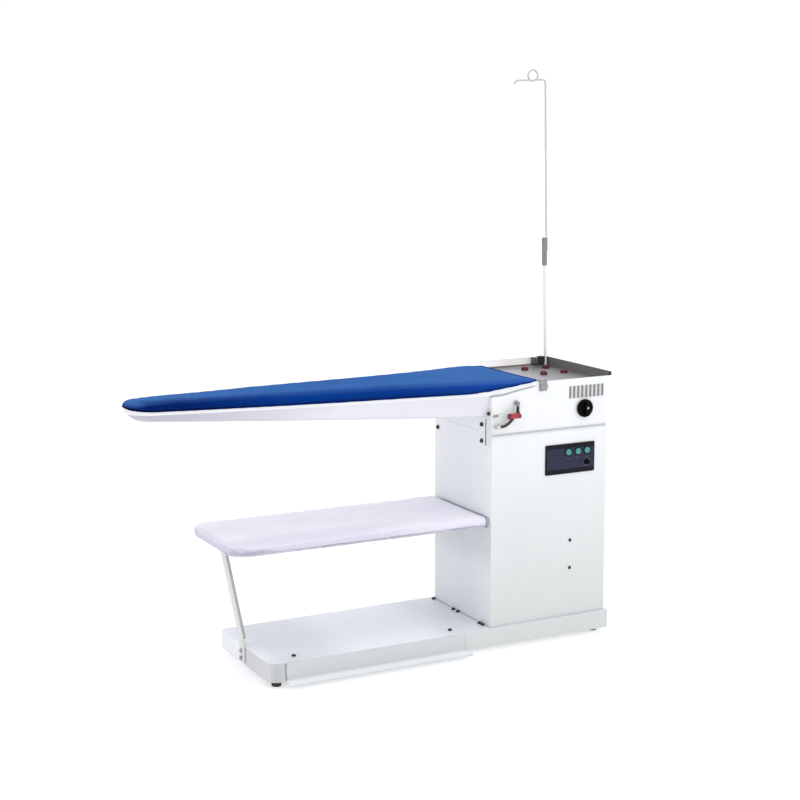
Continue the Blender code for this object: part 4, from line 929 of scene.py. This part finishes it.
# grey sheet behind the vent slots: painted shade, setting the tone seen through them
bm = bmesh.new()
zs = [(281.0, 411.0, 782.0, 832.0)]
for x0, x1, z0, z1 in zs:
    co = [W(x, y, z) for y in (CAB_Y0 + 1.9, CAB_Y0 + 2.7) for x, z in ((x0, z0), (x1, z0), (x1, z1), (x0, z1))]
    vs = [bm.verts.new(p) for p in co]
    for f in ((0, 1, 2, 3), (4, 5, 6, 7), (0, 1, 5, 4), (1, 2, 6, 5), (2, 3, 7, 6), (3, 0, 4, 7)):
        bm.faces.new([vs[i] for i in f])
put("vent_shade_sheet", bm, MATS["vent_shade"], smooth=0)
# grey dot on the thermostat knob
bm = bmesh.new()
lathe_on(bm, W(338.5, CAB_Y0 - 24.0, 755.5), (0, -1, 0), [(0, -0.3), (3.9, -0.3), (3.9, 0.1), (3.4, 0.35), (0, 0.4)], 24)
put("knob_dot", bm, MATS["knob_dot"], "knob", smooth=40)

# control panel: blue-grey film field between black bands, ink marks, rocker signs
def rounded_plate(bm, x0, x1, z0, z1, y_back, y_front, r, seg=5, inset=0.35):
    def ring(ins, y):
        out = []
        rr = max(r - ins, 0.2)
        for cx, cz, a0 in ((x0, z0, 180), (x1, z0, 270), (x1, z1, 0), (x0, z1, 90)):
            ox = cx + r if cx == x0 else cx - r
            oz = cz + r if cz == z0 else cz - r
            for k in range(seg + 1):
                a = math.radians(a0 + 90.0 * k / seg)
                out.append(bm.verts.new(W(ox + rr * math.cos(a), y, oz + rr * math.sin(a))))
        return out
    rows = [ring(0, y_back), ring(0, y_front + inset), ring(inset, y_front)]
    for a, b in zip(rows, rows[1:]):
        for i in range(len(a)):
            j = (i + 1) % len(a)
            bm.faces.new((a[i], a[j], b[j], b[i]))
    bm.faces.new(rows[0])
    bm.faces.new(rows[-1])


PY = CAB_Y0 - 3.3
bm = bmesh.new()
rounded_plate(bm, 200.5, 375.5, 562.5, 629.5, PY - 0.02, PY - 0.36, 2.5, inset=0.12)
panel_film = put("panel_film", bm, MATS["film"], smooth=40)
SW = [(280.0, 616.0), (316.0, 616.0), (350.0, 616.5)]
tools = []
for i, (x, z) in enumerate(SW + [(349.0, 579.0)]):
    bm = bmesh.new()
    r = 13.9 if i < 3 else 9.6
    lathe_on(bm, W(x, PY + 2, z), (0, -1, 0), [(0, 0), (r, 0), (r, 6), (0, 6)], 40)
    tools.append(cutter("film_cut_%d" % i, bm))
for t in tools:
    m = panel_film.modifiers.new("hole", "BOOLEAN")
    m.operation = "DIFFERENCE"
    m.object = t
    m.solver = "EXACT"
settle(panel_film)
for t in tools:
    bpy.data.objects.remove(t, do_unlink=True)
# printed ring round the fuse cap and small ticks under each switch
bm = bmesh.new()
lathe_on(bm, W(349, PY - 0.3, 579), (0, -1, 0), [(11.0, 0.0), (11.9, 0.0), (11.9, 0.12), (11.0, 0.12), (11.0, 0.0)], 44)
for x, z in SW:
    for dx in (-5.0, 0.0, 5.0):
        rounded_plate(bm, x + dx - 1.4, x + dx + 1.4, z - 21.4, z - 19.9, PY - 0.3, PY - 0.45, 0.4, 2, inset=0.04)
for dx in (-4.0, 4.0):
    rounded_plate(bm, 349 + dx - 1.6, 349 + dx + 1.6, 564.4, 565.8, PY - 0.3, PY - 0.45, 0.4, 2, inset=0.04)
put("panel_marks", bm, MATS["ink"], smooth=30)
# signs on the rockers: a bar and a ring on each cap
ra = math.radians(-7)
for i, (x, z) in enumerate(SW):
    yp = CAB_Y0 - 4.0
    bm = bmesh.new()

    def cap_point(px, pz, out):
        # height of the cap's face above its pivot plane, then the cap's tilt about X
        r = math.hypot(px, pz)
        yy = -(3.9 + (min(r, 8.6) - 5.5) * 0.23 if r > 5.5 else 3.4 + r * 0.09) - out
        yy2 = yy * math.cos(ra) - pz * math.sin(ra)
        zz2 = yy * math.sin(ra) + pz * math.cos(ra)
        return W(x + px, yp + yy2, z + zz2)
    bar = [(-0.45, 2.2), (0.45, 2.2), (0.45, 5.4), (-0.45, 5.4)]
    lo = [bm.verts.new(cap_point(a, b, -0.1)) for a, b in bar]
    hi = [bm.verts.new(cap_point(a * 0.85, b, 0.16)) for a, b in bar]
    for k in range(4):
        j = (k + 1) % 4
        bm.faces.new((lo[k], lo[j], hi[j], hi[k]))
    bm.faces.new(lo)
    bm.faces.new(hi)
    rows = []
    for rr, o in ((1.1, -0.1), (1.75, -0.1), (1.7, 0.16), (1.15, 0.16)):
        rows.append([bm.verts.new(cap_point(rr * math.cos(a), -3.8 + rr * math.sin(a), o)) for a in (math.tau * k / 20 for k in range(20))])
    for a, b in zip(rows, rows[1:] + rows[:1]):
        for k in range(20):
            j = (k + 1) % 20
            bm.faces.new((a[k], a[j], b[j], b[k]))
    put("rocker_sign_%d" % (i + 1), bm, MATS["sign"], "rocker_%d" % (i + 1), smooth=30)


# --------------------------------------------------------------------------- soft goods
def run_cloth(ob, pins, pressure, cap, frames=20, shrink=0.0, stiff=12.0, bend=0.6, gravity=0.0):
    """Simulates a closed cover under a little air, holds the pinned points and caps every move."""
    rest = np.array([v.co for v in ob.data.vertices], float)
    vg = ob.vertex_groups.new(name="hold")
    w = pins(rest)
    for i in np.nonzero(w > 0.001)[0]:
        vg.add([int(i)], float(w[i]), "REPLACE")
    cl = ob.modifiers.new("cover", "CLOTH")
    s = cl.settings
    s.quality = 4
    s.mass = 0.25
    s.tension_stiffness = stiff
    s.compression_stiffness = stiff
    s.shear_stiffness = stiff * 0.4
    s.bending_stiffness = bend
    s.tension_damping = s.compression_damping = 8.0
    s.air_damping = 2.0
    s.use_pressure = True
    s.uniform_pressure_force = pressure
    s.vertex_group_mass = "hold"
    s.pin_stiffness = 1.0
    s.shrink_min = shrink
    s.effector_weights.gravity = gravity
    cl.collision_settings.use_collision = False
    cl.collision_settings.use_self_collision = False
    cl.point_cache.frame_start = 1
    cl.point_cache.frame_end = frames
    for f in range(1, frames + 1):
        scene.frame_set(f)
    dg = bpy.context.evaluated_depsgraph_get()
    ev = ob.evaluated_get(dg)
    me = ev.to_mesh()
    now = np.zeros(len(me.vertices) * 3)
    me.vertices.foreach_get("co", now)
    ev.to_mesh_clear()
    now = now.reshape(-1, 3)
    move = now - rest
    ln = np.linalg.norm(move, axis=1)
    k = np.where(ln > 1e-9, cap * np.tanh(ln / cap) / np.maximum(ln, 1e-9), 1.0)
    now = rest + move * k[:, None]
    ob.modifiers.remove(cl)
    ob.vertex_groups.clear()
    ob.data.vertices.foreach_set("co", now.ravel())
    ob.data.update()
    scene.frame_set(1)
    return ob


def remesh(ob, size):
    m = ob.modifiers.new("voxel", "REMESH")
    m.mode = "VOXEL"
    m.voxel_size = size
    m.use_smooth_shade = True
    settle(ob)
    return ob


def outline(x_end, corner, steps=1):
    """Half outline of the board from the nose to the right end: (x, h, nx, nh)."""
    pts = []
    a, b, xc = -1036 - X_NOSE, half_width(-1036), -1036.0
    for k in range(14):
        t = math.radians(90 * k / 14.0)
        pts.append((xc - a * math.cos(t), b * math.sin(t)))
    x = -1036.0
    while x < x_end - corner - 6:
        pts.append((x, half_width(x)))
        x += 16.0
    hw = half_width(x_end - corner)
    for k in range(9):
        t = math.radians(90 * k / 8.0)
        pts.append((x_end - corner + corner * math.sin(t), hw - corner + corner * math.cos(t)))
    n_tail = 8
    for k in range(1, n_tail + 1):
        pts.append((x_end, (hw - corner) * (1 - k / n_tail)))
    out = []
    for i, (x, h) in enumerate(pts):
        if i == 0:
            nx, nh = -1.0, 0.0
        elif i == len(pts) - 1:
            nx, nh = 1.0, 0.0
        else:
            p, q = pts[i - 1], pts[i + 1]
            dx, dh = q[0] - p[0], q[1] - p[1]
            ln = math.hypot(dx, dh)
            nx, nh = -dh / ln, dx / ln
        out.append((x, h, nx, nh))
    return out


HALVES = (outline(BOARD_END, 16.0), outline(BOARD_END, 46.0))


def end_shift(y):
    """How far the cover reaches past the pad's right end, most at the front corner."""
    return float(np.interp(y, (131.0, 230.0, 330.0), (5.2, -0.2, -0.8)))


def board_ring(inset, zf, lap=False):
    loop = []
    for side, half in zip((-1.0, 1.0), HALVES):
        run = []
        for i, (x, h, nx, nh) in enumerate(half):
            X, H = x - inset * nx, max(0.0, h - inset * nh)
            if i in (0, len(half) - 1):
                H = 0.0
            if side < 0 or i not in (0, len(half) - 1):
                z, Y = zf(X), YB + side * H
                if lap:
                    X += end_shift(Y) * min(max((X - 110.0) / 45.0, 0.0), 1.0) ** 2
                run.append((X, Y, z))
        loop += run if side < 0 else run[::-1]
    return loop


def skin(bm, rings, close=True):
    rows = [[bm.verts.new(W(*p)) for p in r] for r in rings]
    n = len(rows[0])
    for a, b in zip(rows, rows[1:]):
        for i in range(n):
            j = (i + 1) % n
            bm.faces.new((a[i], a[j], b[j], b[i]))
    if close:
        bm.faces.new(rows[0])
        bm.faces.new(rows[-1])
    return bm


def level(k):
    return lambda x: z_hem(x) + 0.4 + (z_top(x) - z_hem(x) - 0.4) * k


bm = bmesh.new()
skin(bm, [board_ring(14, lambda x: z_top(x) - 1.4), board_ring(6.0, level(0.87)),
          board_ring(2.6, level(0.66)), board_ring(1.6, level(0.36)), board_ring(1.2, level(0.10)), board_ring(1.4, level(0.0)),
          board_ring(7.5, level(0.0)), board_ring(8.5, lambda x: z_rim(x) + 6.0)])
cover = put("cover_blue", bm, BLUE, smooth=0)
remesh(cover, 0.0055)


def hold_cover(co):
    x = co[:, 0] * 1000 + XC
    hem = np.array([z_hem(v) for v in x]) * 0.001
    t = (co[:, 2] - hem) / 0.006
    return np.clip(1.25 - t, 0, 1)


run_cloth(cover, hold_cover, 5.0, 0.0042, shrink=-0.012, stiff=14.0, bend=0.35)
sub = cover.modifiers.new("fine", "SUBSURF")
sub.levels = sub.render_levels = 1
settle(cover)
cover.data.shade_smooth()
# the right end laps over the housing's edge, furthest at the front corner
co = np.array([v.co for v in cover.data.vertices], float)
X, Y, Z = co[:, 0] * 1000 + XC, co[:, 1] * 1000 + YC, co[:, 2] * 1000
ys = np.arange(128.0, 420.0, 6.0)
ends = np.array([X[(np.abs(Y - q) < 6.0) & (Z > 846.0)].max() for q in ys])
gap = np.array([BOARD_END - 0.8 + end_shift(q) for q in ys]) - ends
reach = np.clip((X - 110.0) / 45.0, 0, 1) ** 2 * np.clip((Z - 843.0) / 7.0, 0, 1)
X = X + np.interp(Y, ys, gap) * reach
Z = np.where((X > 163.5) & (Z < 851.6), 851.6, Z)
co[:, 0], co[:, 2] = (X - XC) * 0.001, Z * 0.001
cover.data.vertices.foreach_set("co", co.ravel())
cover.data.update()
# roll: 0 at the hem, 1 at the shoulder; crown: 0 on the side, 1 on the flat top; both place the cover's painted shade
roll = cover.data.attributes.new("roll", "FLOAT", "POINT")
crown = cover.data.attributes.new("crown", "FLOAT", "POINT")
vals, tops = [], []
for x, y, z in zip(X, Y, Z):
    if x < -1036.0:
        b0 = half_width(-1036.0)
        ins = b0 * (1.0 - math.hypot((x + 1036.0) / 82.0, (y - YB) / b0))
    else:
        ins = half_width(min(x, 400.0)) - abs(y - YB)
    fold = float(np.interp(x, (148, 157), (0, 1)) * np.interp(y, (122, 140), (0, 1)))
    side = min(max((z - z_hem(x)) / (0.86 * (z_top(x) - z_hem(x))), 0.0), 1.0)
    vals.append(side + (0.95 - side) * fold if side < 0.95 else side)
    rise = 0.058 * max(ins - 2.0, 0.0) - 0.345 * max(z_top(x) - 2.0 - z, 0.0)
    half = float(np.interp(x, (-1118, -1100, -1085, -1062, -990, -800, -620, -370, -175, -40, 63, 171),
                           (-2.2, -1.8, -1.1, 1.2, 2.2, 2.6, 2.6, 2.4, 1.4, 0.45, -0.35, -0.8)))
    if y > YB:
        half = min(half, -0.8)
    top = min(max((rise - half) / 4.8 + 0.39, 0.0), 1.0)
    tops.append(top + (0.9 - top) * fold if top < 0.9 else top)
roll.data.foreach_set("value", vals)
crown.data.foreach_set("value", tops)
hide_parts("board_pad")


# rolled hem that carries the drawstring, and its row of stitches
hem = tube("cover_hem", [W(*p) for p in board_ring(2.3, lambda x: z_hem(x) + 2.4, lap=True)], 1.9, BLUE, cyclic=True, res=3, fill=False)


def stitches(name, path, mat, pitch=6.0, length=3.6, radius=0.42, lift=None, body=root):
    """Row of thread stitches along a closed path of points in metres."""
    d = [0.0]
    pts = path + [path[0]]
    for a, b in zip(pts, pts[1:]):
        d.append(d[-1] + (b - a).length)
    total = d[-1]
    count = int(total / (pitch * 0.001))
    bm = bmesh.new()
    idx = 0
    for i in range(count):
        s = total * i / count
        while idx < len(d) - 2 and d[idx + 1] < s:
            idx += 1
        t = (s - d[idx]) / max(d[idx + 1] - d[idx], 1e-9)
        a, b = pts[idx], pts[idx + 1]
        c = a.lerp(b, t)
        dr = (b - a).normalized()
        up = Vector((0, 0, 1)) if abs(dr.z) < 0.9 else Vector((0, 1, 0))
        sd = dr.cross(up).normalized()
        up = sd.cross(dr).normalized()
        L, r = length * 0.0005, radius * 0.001
        rows = []
        for k, rr in ((-1.0, 0.35), (-0.6, 1.0), (0.6, 1.0), (1.0, 0.35)):
            rows.append([bm.verts.new(c + dr * (L * k) + (sd * math.cos(q) + up * math.sin(q)) * r * rr)
                         for q in (math.tau * j / 5 for j in range(5))])
        for p, q in zip(rows, rows[1:]):
            for j in range(5):
                bm.faces.new((p[j], p[(j + 1) % 5], q[(j + 1) % 5], q[j]))
        bm.faces.new(rows[0])
        bm.faces.new(rows[-1])
    return put(name, bm, mat, body, smooth=60)


def on_surface(ob, pts, centre_fn, off):
    """Moves points onto a mesh along the direction from an inner point, off metres proud."""
    dg = bpy.context.evaluated_depsgraph_get()
    out = []
    for p in pts:
        c = centre_fn(p)
        d = (p - c)
        ln = d.length
        d.normalize()
        start = p + d * 0.03
        hit, loc, nor, _ = ob.ray_cast(start, -d, distance=0.06)
        out.append(loc + nor * off if hit else p)
    return out


row = [W(*p) for p in board_ring(2.0, lambda x: z_hem(x) + 0.36 * (z_top(x) - z_hem(x)), lap=True)]
dense = []
for a, b in zip(row, row[1:] + row[:1]):
    k = max(1, int((b - a).length / 0.006))
    dense += [a.lerp(b, j / k) for j in range(k)]
seam = on_surface(cover, dense, lambda p: Vector(((p.x * 0.97 + 0.0), (YB - YC) * 0.001 + (p.y - (YB - YC) * 0.001) * 0.6, p.z)), 0.00015)
stitches("cover_stitches", seam, MATS["thread"])

# shelf sleeve
SX0, SX1, SY0, SY1, SZ0, SZ1 = -862.0, -3.0, 133.0, 487.0, 397.0, 433.0


RISE = 0.005


def tilt(x):
    return RISE * (SX1 - x)


def shelf_ring(inset, z, x_in=0.0, seg=12):
    out = []
    x0, x1, y0, y1 = SX0 + inset, SX1 - x_in, SY0 + inset, SY1 - inset
    for cx, cy, r, a0 in ((x0, y0, 72 - inset, 180), (x1, y0, 5, 270), (x1, y1, 5, 0), (x0, y1, 72 - inset, 90)):
        ox = cx + r if cx == x0 else cx - r
        oy = cy + r if cy == y0 else cy - r
        for k in range(seg + 1):
            a = math.radians(a0 + 90.0 * k / seg)
            X = ox + r * math.cos(a)
            out.append((X, oy + r * math.sin(a), z + tilt(X)))
    return out


bm = bmesh.new()
skin(bm, [shelf_ring(40, SZ0 + 2.5, 1.5), shelf_ring(13, SZ0 + 2.0, 1.0), shelf_ring(5.0, SZ0 + 6.0, 0.5), shelf_ring(1.8, SZ0 + 13, 0),
          shelf_ring(1.8, SZ1 - 13, 0), shelf_ring(5.0, SZ1 - 6.0, 0.5), shelf_ring(13, SZ1 - 2.2, 1.0), shelf_ring(40, SZ1 - 3.2, 1.5)])
sleeve = put("sleeve_white", bm, COTTON, smooth=0)
remesh(sleeve, 0.0055)


def hold_sleeve(co):
    x = co[:, 0] * 1000 + XC
    y = co[:, 1] * 1000 + YC
    z = co[:, 2] * 1000 - RISE * (SX1 - x)
    right = np.clip((x + 16.0) / 9.0, 0, 1)
    edge = np.clip(1 - np.abs(z - 415.0) / 7.0, 0, 1) * 0.85 * ((y < SY0 + 8) | (y > SY1 - 8) | (x < SX0 + 8))
    under = np.clip((404.0 - z) / 3.0, 0, 1) * 0.5
    return np.maximum(np.maximum(right, edge), under)


run_cloth(sleeve, hold_sleeve, 3.0, 0.0040, shrink=-0.015, stiff=10.0, bend=0.25)
co = np.array([v.co for v in sleeve.data.vertices], float)
# the top sheet hangs a little between the tubes of the hoop
x = co[:, 0] * 1000 + XC
y = co[:, 1] * 1000 + YC
z = co[:, 2] * 1000 - RISE * (SX1 - x)
across = np.clip(1 - ((y - 310.0) / 135.0) ** 2, 0, 1)
along = np.clip((x - SX0 - 40) / 120.0, 0, 1) * np.clip((-x - 10) / 60.0, 0, 1)
rum = (np.sin(x * 0.021 + 0.7 * np.sin(y * 0.017)) * 0.55 + np.sin(x * 0.047 + y * 0.022 + 1.3) * 0.30
       + np.sin(x * 0.011 - y * 0.031 + 0.4) * 0.45)
top = np.clip((z - 424.0) / 5.0, 0, 1)
dz = top * along * (-2.2 * across + rum * (0.5 + 0.5 * across))
front = np.clip((150.0 - y) / 14.0, 0, 1) * np.clip(1 - np.abs(z - 414) / 16.0, 0, 1) * np.clip((-x - 10) / 50.0, 0, 1)
dy = -front * (0.7 * np.sin(x * 0.033 + 0.5) + 0.45 * np.sin(x * 0.071 + 2.0))
low = np.clip((408.0 - z) / 6.0, 0, 1) * np.clip((175.0 - y) / 20.0, 0, 1) * np.clip((-x - 10) / 50.0, 0, 1)
dz -= low * (0.8 * np.sin(x * 0.029 + 1.1) + 0.5 * np.sin(x * 0.063))
# the gathered end flares towards the front
flare = np.clip((x + 75.0) / 70.0, 0, 1) ** 2 * np.clip((185.0 - y) / 45.0, 0, 1)
dy -= 9.0 * flare
co[:, 2] += dz * 0.001
co[:, 1] += dy * 0.001
sleeve.data.vertices.foreach_set("co", co.ravel())
sleeve.data.update()
sub = sleeve.modifiers.new("fine", "SUBSURF")
sub.levels = sub.render_levels = 1
settle(sleeve)
sleeve.data.shade_smooth()
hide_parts("shelf_cloth")

# dark strip round the sleeve's end at the cabinet: painted shade of the gap there
end_shade = []
for k in range(24):
    y = 424.0 - (424.0 - 141.0) * k / 23.0
    end_shade.append((-2.6, y - 9.0 * max(0.0, min(1.0, (185.0 - y) / 45.0)), SZ1 - 1.6))
for k in range(1, 12):
    a = math.radians(180.0 * k / 12)
    end_shade.append((-2.6, 137.5 - 9.0 - 13.5 * math.sin(a) ** 0.8 + 3.5, 0.5 * (SZ0 + SZ1) + (0.5 * (SZ1 - SZ0) - 1.6) * math.cos(a)))
for k in range(24):
    y = 141.0 + (470.0 - 141.0) * k / 23.0
    end_shade.append((-2.6, y - 9.0 * max(0.0, min(1.0, (185.0 - y) / 45.0)), SZ0 + 1.4))
tube("sleeve_end_shade", [W(*p) for p in end_shade], 1.2, MATS["end_shade"], res=3)
# grey tube along the sleeve's lower front edge: painted shade of its rounded underside
shade_line = []
for k in range(1, 14):
    a = math.radians(78.0 * (1.0 - k / 14.0))
    X = SX0 + 72.0 - 66.0 * math.sin(a)
    shade_line.append((X, SY0 + 75.5 - 66.0 * math.cos(a), SZ0 + 5.2 + tilt(X)))
for k in range(56):
    x = -788.0 + (-8.0 + 788.0) * k / 55.0
    fl = max(0.0, min(1.0, (x + 75.0) / 70.0)) ** 2
    fat = max(0.0, min(1.0, (-620.0 - x) / 150.0))
    shade_line.append((x, SY0 + 7.5 + 1.6 * fat - 9.0 * fl + 0.4 * math.sin(x * 0.033), SZ0 + 2.6 + 2.6 * fat + tilt(x) + 0.4 * math.sin(x * 0.029 + 1.1)))
tube("sleeve_front_shade", [W(*p) for p in shade_line], 3.0, MATS["front_shade"], res=3, swell=[float(np.interp(p[0], (-860, -800, -770, -690, -600), (1.2, 1.7, 1.8, 1.25, 1.0))) for p in shade_line])

# ----------------------------------------------------------------------- painted shade strips and marks
def ribbon(name, pts, h, d, mat, side="y"):
    """Strip of height h and depth d along points of its lower edge, in millimetres."""
    bm = bmesh.new()
    rows = []
    for x, y, z in pts:
        if side == "y":
            q = ((x, y, z), (x, y - d, z + 0.25 * h), (x, y - d, z + 0.75 * h), (x, y, z + h))
        elif side == "gap":
            q = ((x, y + 1.4, z), (x, y - 0.6, z), (x + 1.2, y, z), (x + 8.6, y, z), (x + 8.6, y + 1.4, z))
        else:
            q = ((x, y, z), (x - d, y + 0.25 * h, z), (x - d, y + 0.75 * h, z), (x, y + h, z))
        rows.append([bm.verts.new(W(*c)) for c in q])
    for a, b in zip(rows, rows[1:]):
        for i in range(len(a)):
            j = (i + 1) % len(a)
            bm.faces.new((a[i], a[j], b[j], b[i]))
    bm.faces.new(rows[0])
    bm.faces.new(rows[-1])
    return put(name, bm, mat, smooth=35)


# grey strip along the cheek's top edge: painted shade of the shadow line under the board's rim
CHEEK = [(1.0, 813.8), (30, 814.5), (50, 816.8), (64, 819.6), (82, 823.2), (100, 826.4), (118, 829.2), (136, 831.8), (152, 834.6)]
ribbon("board_shade_strip_front", [(x, CAB_Y0 + 2.2, z - 0.2) for x, z in CHEEK], 4.6, 1.7, MATS["painted_shade_grey"])
bm = bmesh.new()
gusset = [(143.0, 833.6), (152.4, 835.4), (160.0, 840.2), (164.6, 848.8), (164.6, 851.2), (143.0, 851.2)]
for ya, yb in ((109.05, 109.85),):
    lo = [bm.verts.new(W(x, ya, z)) for x, z in gusset]
    hi = [bm.verts.new(W(x, yb, z)) for x, z in gusset]
    for i in range(len(gusset)):
        j = (i + 1) % len(gusset)
        bm.faces.new((lo[i], lo[j], hi[j], hi[i]))
    bm.faces.new(lo)
    bm.faces.new(hi)
put("casing_corner_return", bm, MATS["paint"], smooth=0)
# grey strip in the gap beside the pedal: painted shade of the gap
ribbon("pedal_gap_shade", [(-711.2, 100.6, z) for z in (21.0, 40.0, 60.0, 75.0)], 0.0, 0.0, MATS["painted_shade_grey"], "gap")
ribbon("valve_plate_tab", [(1.5, 104.45, 749.6), (11.0, 104.45, 750.0), (21.0, 104.45, 750.6)], 8.6, 1.1, MATS["tab"])
# dark strip at the valve plate's rear edge: painted shade of the gap there
ribbon("valve_plate_edge", [(-0.3, 137.2, z) for z in (658.0, 700.0, 740.0)], 6.5, 3.4, MATS["painted_shade_dark"], "x")

# folded header strip above the back panel, closing the back up to the seam
bm = bmesh.new()
fold = [(CAB_Y1 - 0.9, 662.3), (CAB_Y1 - 0.5, 662.9), (CAB_Y1 - 0.5, 689.4), (CAB_Y1 - 0.9, 690.0), (CAB_Y1 - 2.1, 690.0), (CAB_Y1 - 2.1, 662.3)]
rows = [[bm.verts.new(W(x, y, z)) for y, z in fold] for x in (2.5, CAB_W - 2.5)]
for i in range(len(fold)):
    j = (i + 1) % len(fold)
    bm.faces.new((rows[0][i], rows[0][j], rows[1][j], rows[1][i]))
bm.faces.new(rows[0])
bm.faces.new(rows[1])
put("back_header_strip", bm, MATS["paint"], smooth=0)
for i, x in enumerate((28.0, CAB_W - 28.0)):
    cross_screw("screw_header_%d" % (i + 1), (x, CAB_Y1 - 0.5, 677.0), (0, 1, 0), 3.2, 1.4, MATS["zinc"], turn=0.5 + 0.7 * i)

# ---------------------------------------------------------------------- floor and light
fl = bmesh.new()
bmesh.ops.create_grid(fl, x_segments=2, y_segments=2, size=60.0)
me = bpy.data.meshes.new("studio_floor")
fl.to_mesh(me)
fl.free()
floor = bpy.data.objects.new("studio_floor", me)
scene.collection.objects.link(floor)
mf = Mat("floor_pale", (0.72, 0.72, 0.725), 0.9)
mf.color(mf.mix(mf.rng(mf.noise(0.8, 3.0), 0.3, 0.7, 0, 1), (0.715, 0.715, 0.72), (0.725, 0.725, 0.725)))
mf.p.inputs["Specular IOR Level"].default_value = 0.0
mf.p.inputs["Emission Color"].default_value = (1.0, 1.0, 1.0, 1)
mf.p.inputs["Emission Strength"].default_value = 0.40
me.materials.append(mf.m)

world = bpy.data.worlds.new("studio")
scene.world = world
world.use_nodes = True
nt = world.node_tree
bg = nt.nodes["Background"]
tc = nt.nodes.new("ShaderNodeTexCoord")
sep = nt.nodes.new("ShaderNodeSeparateXYZ")
nt.links.new(tc.outputs["Generated"], sep.inputs[0])
mr = nt.nodes.new("ShaderNodeMapRange")
mr.interpolation_type = "SMOOTHSTEP"
for k, v in (("From Min", -0.95), ("From Max", 0.1), ("To Min", 0.0), ("To Max", 1.0)):
    mr.inputs[k].default_value = v
nt.links.new(sep.outputs["X"], mr.inputs["Value"])
mx = nt.nodes.new("ShaderNodeMix")
mx.data_type = "RGBA"
nt.links.new(mr.outputs[0], mx.inputs[0])
mx.inputs[6].default_value = (0.89, 0.895, 0.96, 1)
mx.inputs[7].default_value = (1.0, 1.0, 1.0, 1)
nt.links.new(mx.outputs[2], bg.inputs["Color"])
bg.inputs["Strength"].default_value = 1.02


def area(name, loc, target, size, power, color=(1, 1, 1)):
    li = bpy.data.lights.new(name, "AREA")
    li.shape = "RECTANGLE"
    li.size, li.size_y = size
    li.energy = power
    li.color = color
    ob = bpy.data.objects.new(name, li)
    scene.collection.objects.link(ob)
    ob.location = loc
    ob.rotation_euler = (Vector(target) - Vector(loc)).to_track_quat("-Z", "Y").to_euler()
    return ob


area("key", (1.8, -4.6, 2.6), (0.1, 0.0, 0.6), (2.6, 2.2), 22.0, (1.0, 0.995, 0.985))
area("top", (-0.4, -0.6, 4.2), (-0.1, 0.0, 0.8), (3.0, 2.0), 18.0)

scene.view_settings.view_transform = "Standard"
scene.view_settings.look = "None"
scene.view_settings.exposure = 0.0
scene.view_settings.gamma = 1.0

# ------------------------------------------------------------------------------- camera
cam_data = bpy.data.cameras.new("camera")
cam_data.sensor_width = 36.0
cam_data.sensor_fit = "HORIZONTAL"
cam_data.lens = 1663.69 / 800.0 * 36.0
cam_data.clip_start, cam_data.clip_end = 0.1, 200.0
cam = bpy.data.objects.new("camera", cam_data)
scene.collection.objects.link(cam)
cam.location = (-2.24373, -4.50555, 1.67946)
yaw, pitch, roll = math.radians(27.56), math.radians(9.84), math.radians(-0.08)
w = Vector((math.sin(yaw) * math.cos(pitch), math.cos(yaw) * math.cos(pitch), -math.sin(pitch)))
r = Vector((math.cos(yaw), -math.sin(yaw), 0.0))
u = r.cross(w)
rr = r * math.cos(roll) + u * math.sin(roll)
uu = -r * math.sin(roll) + u * math.cos(roll)
cam.rotation_euler = Matrix((rr, uu, -w)).transposed().to_euler()
scene.camera = cam
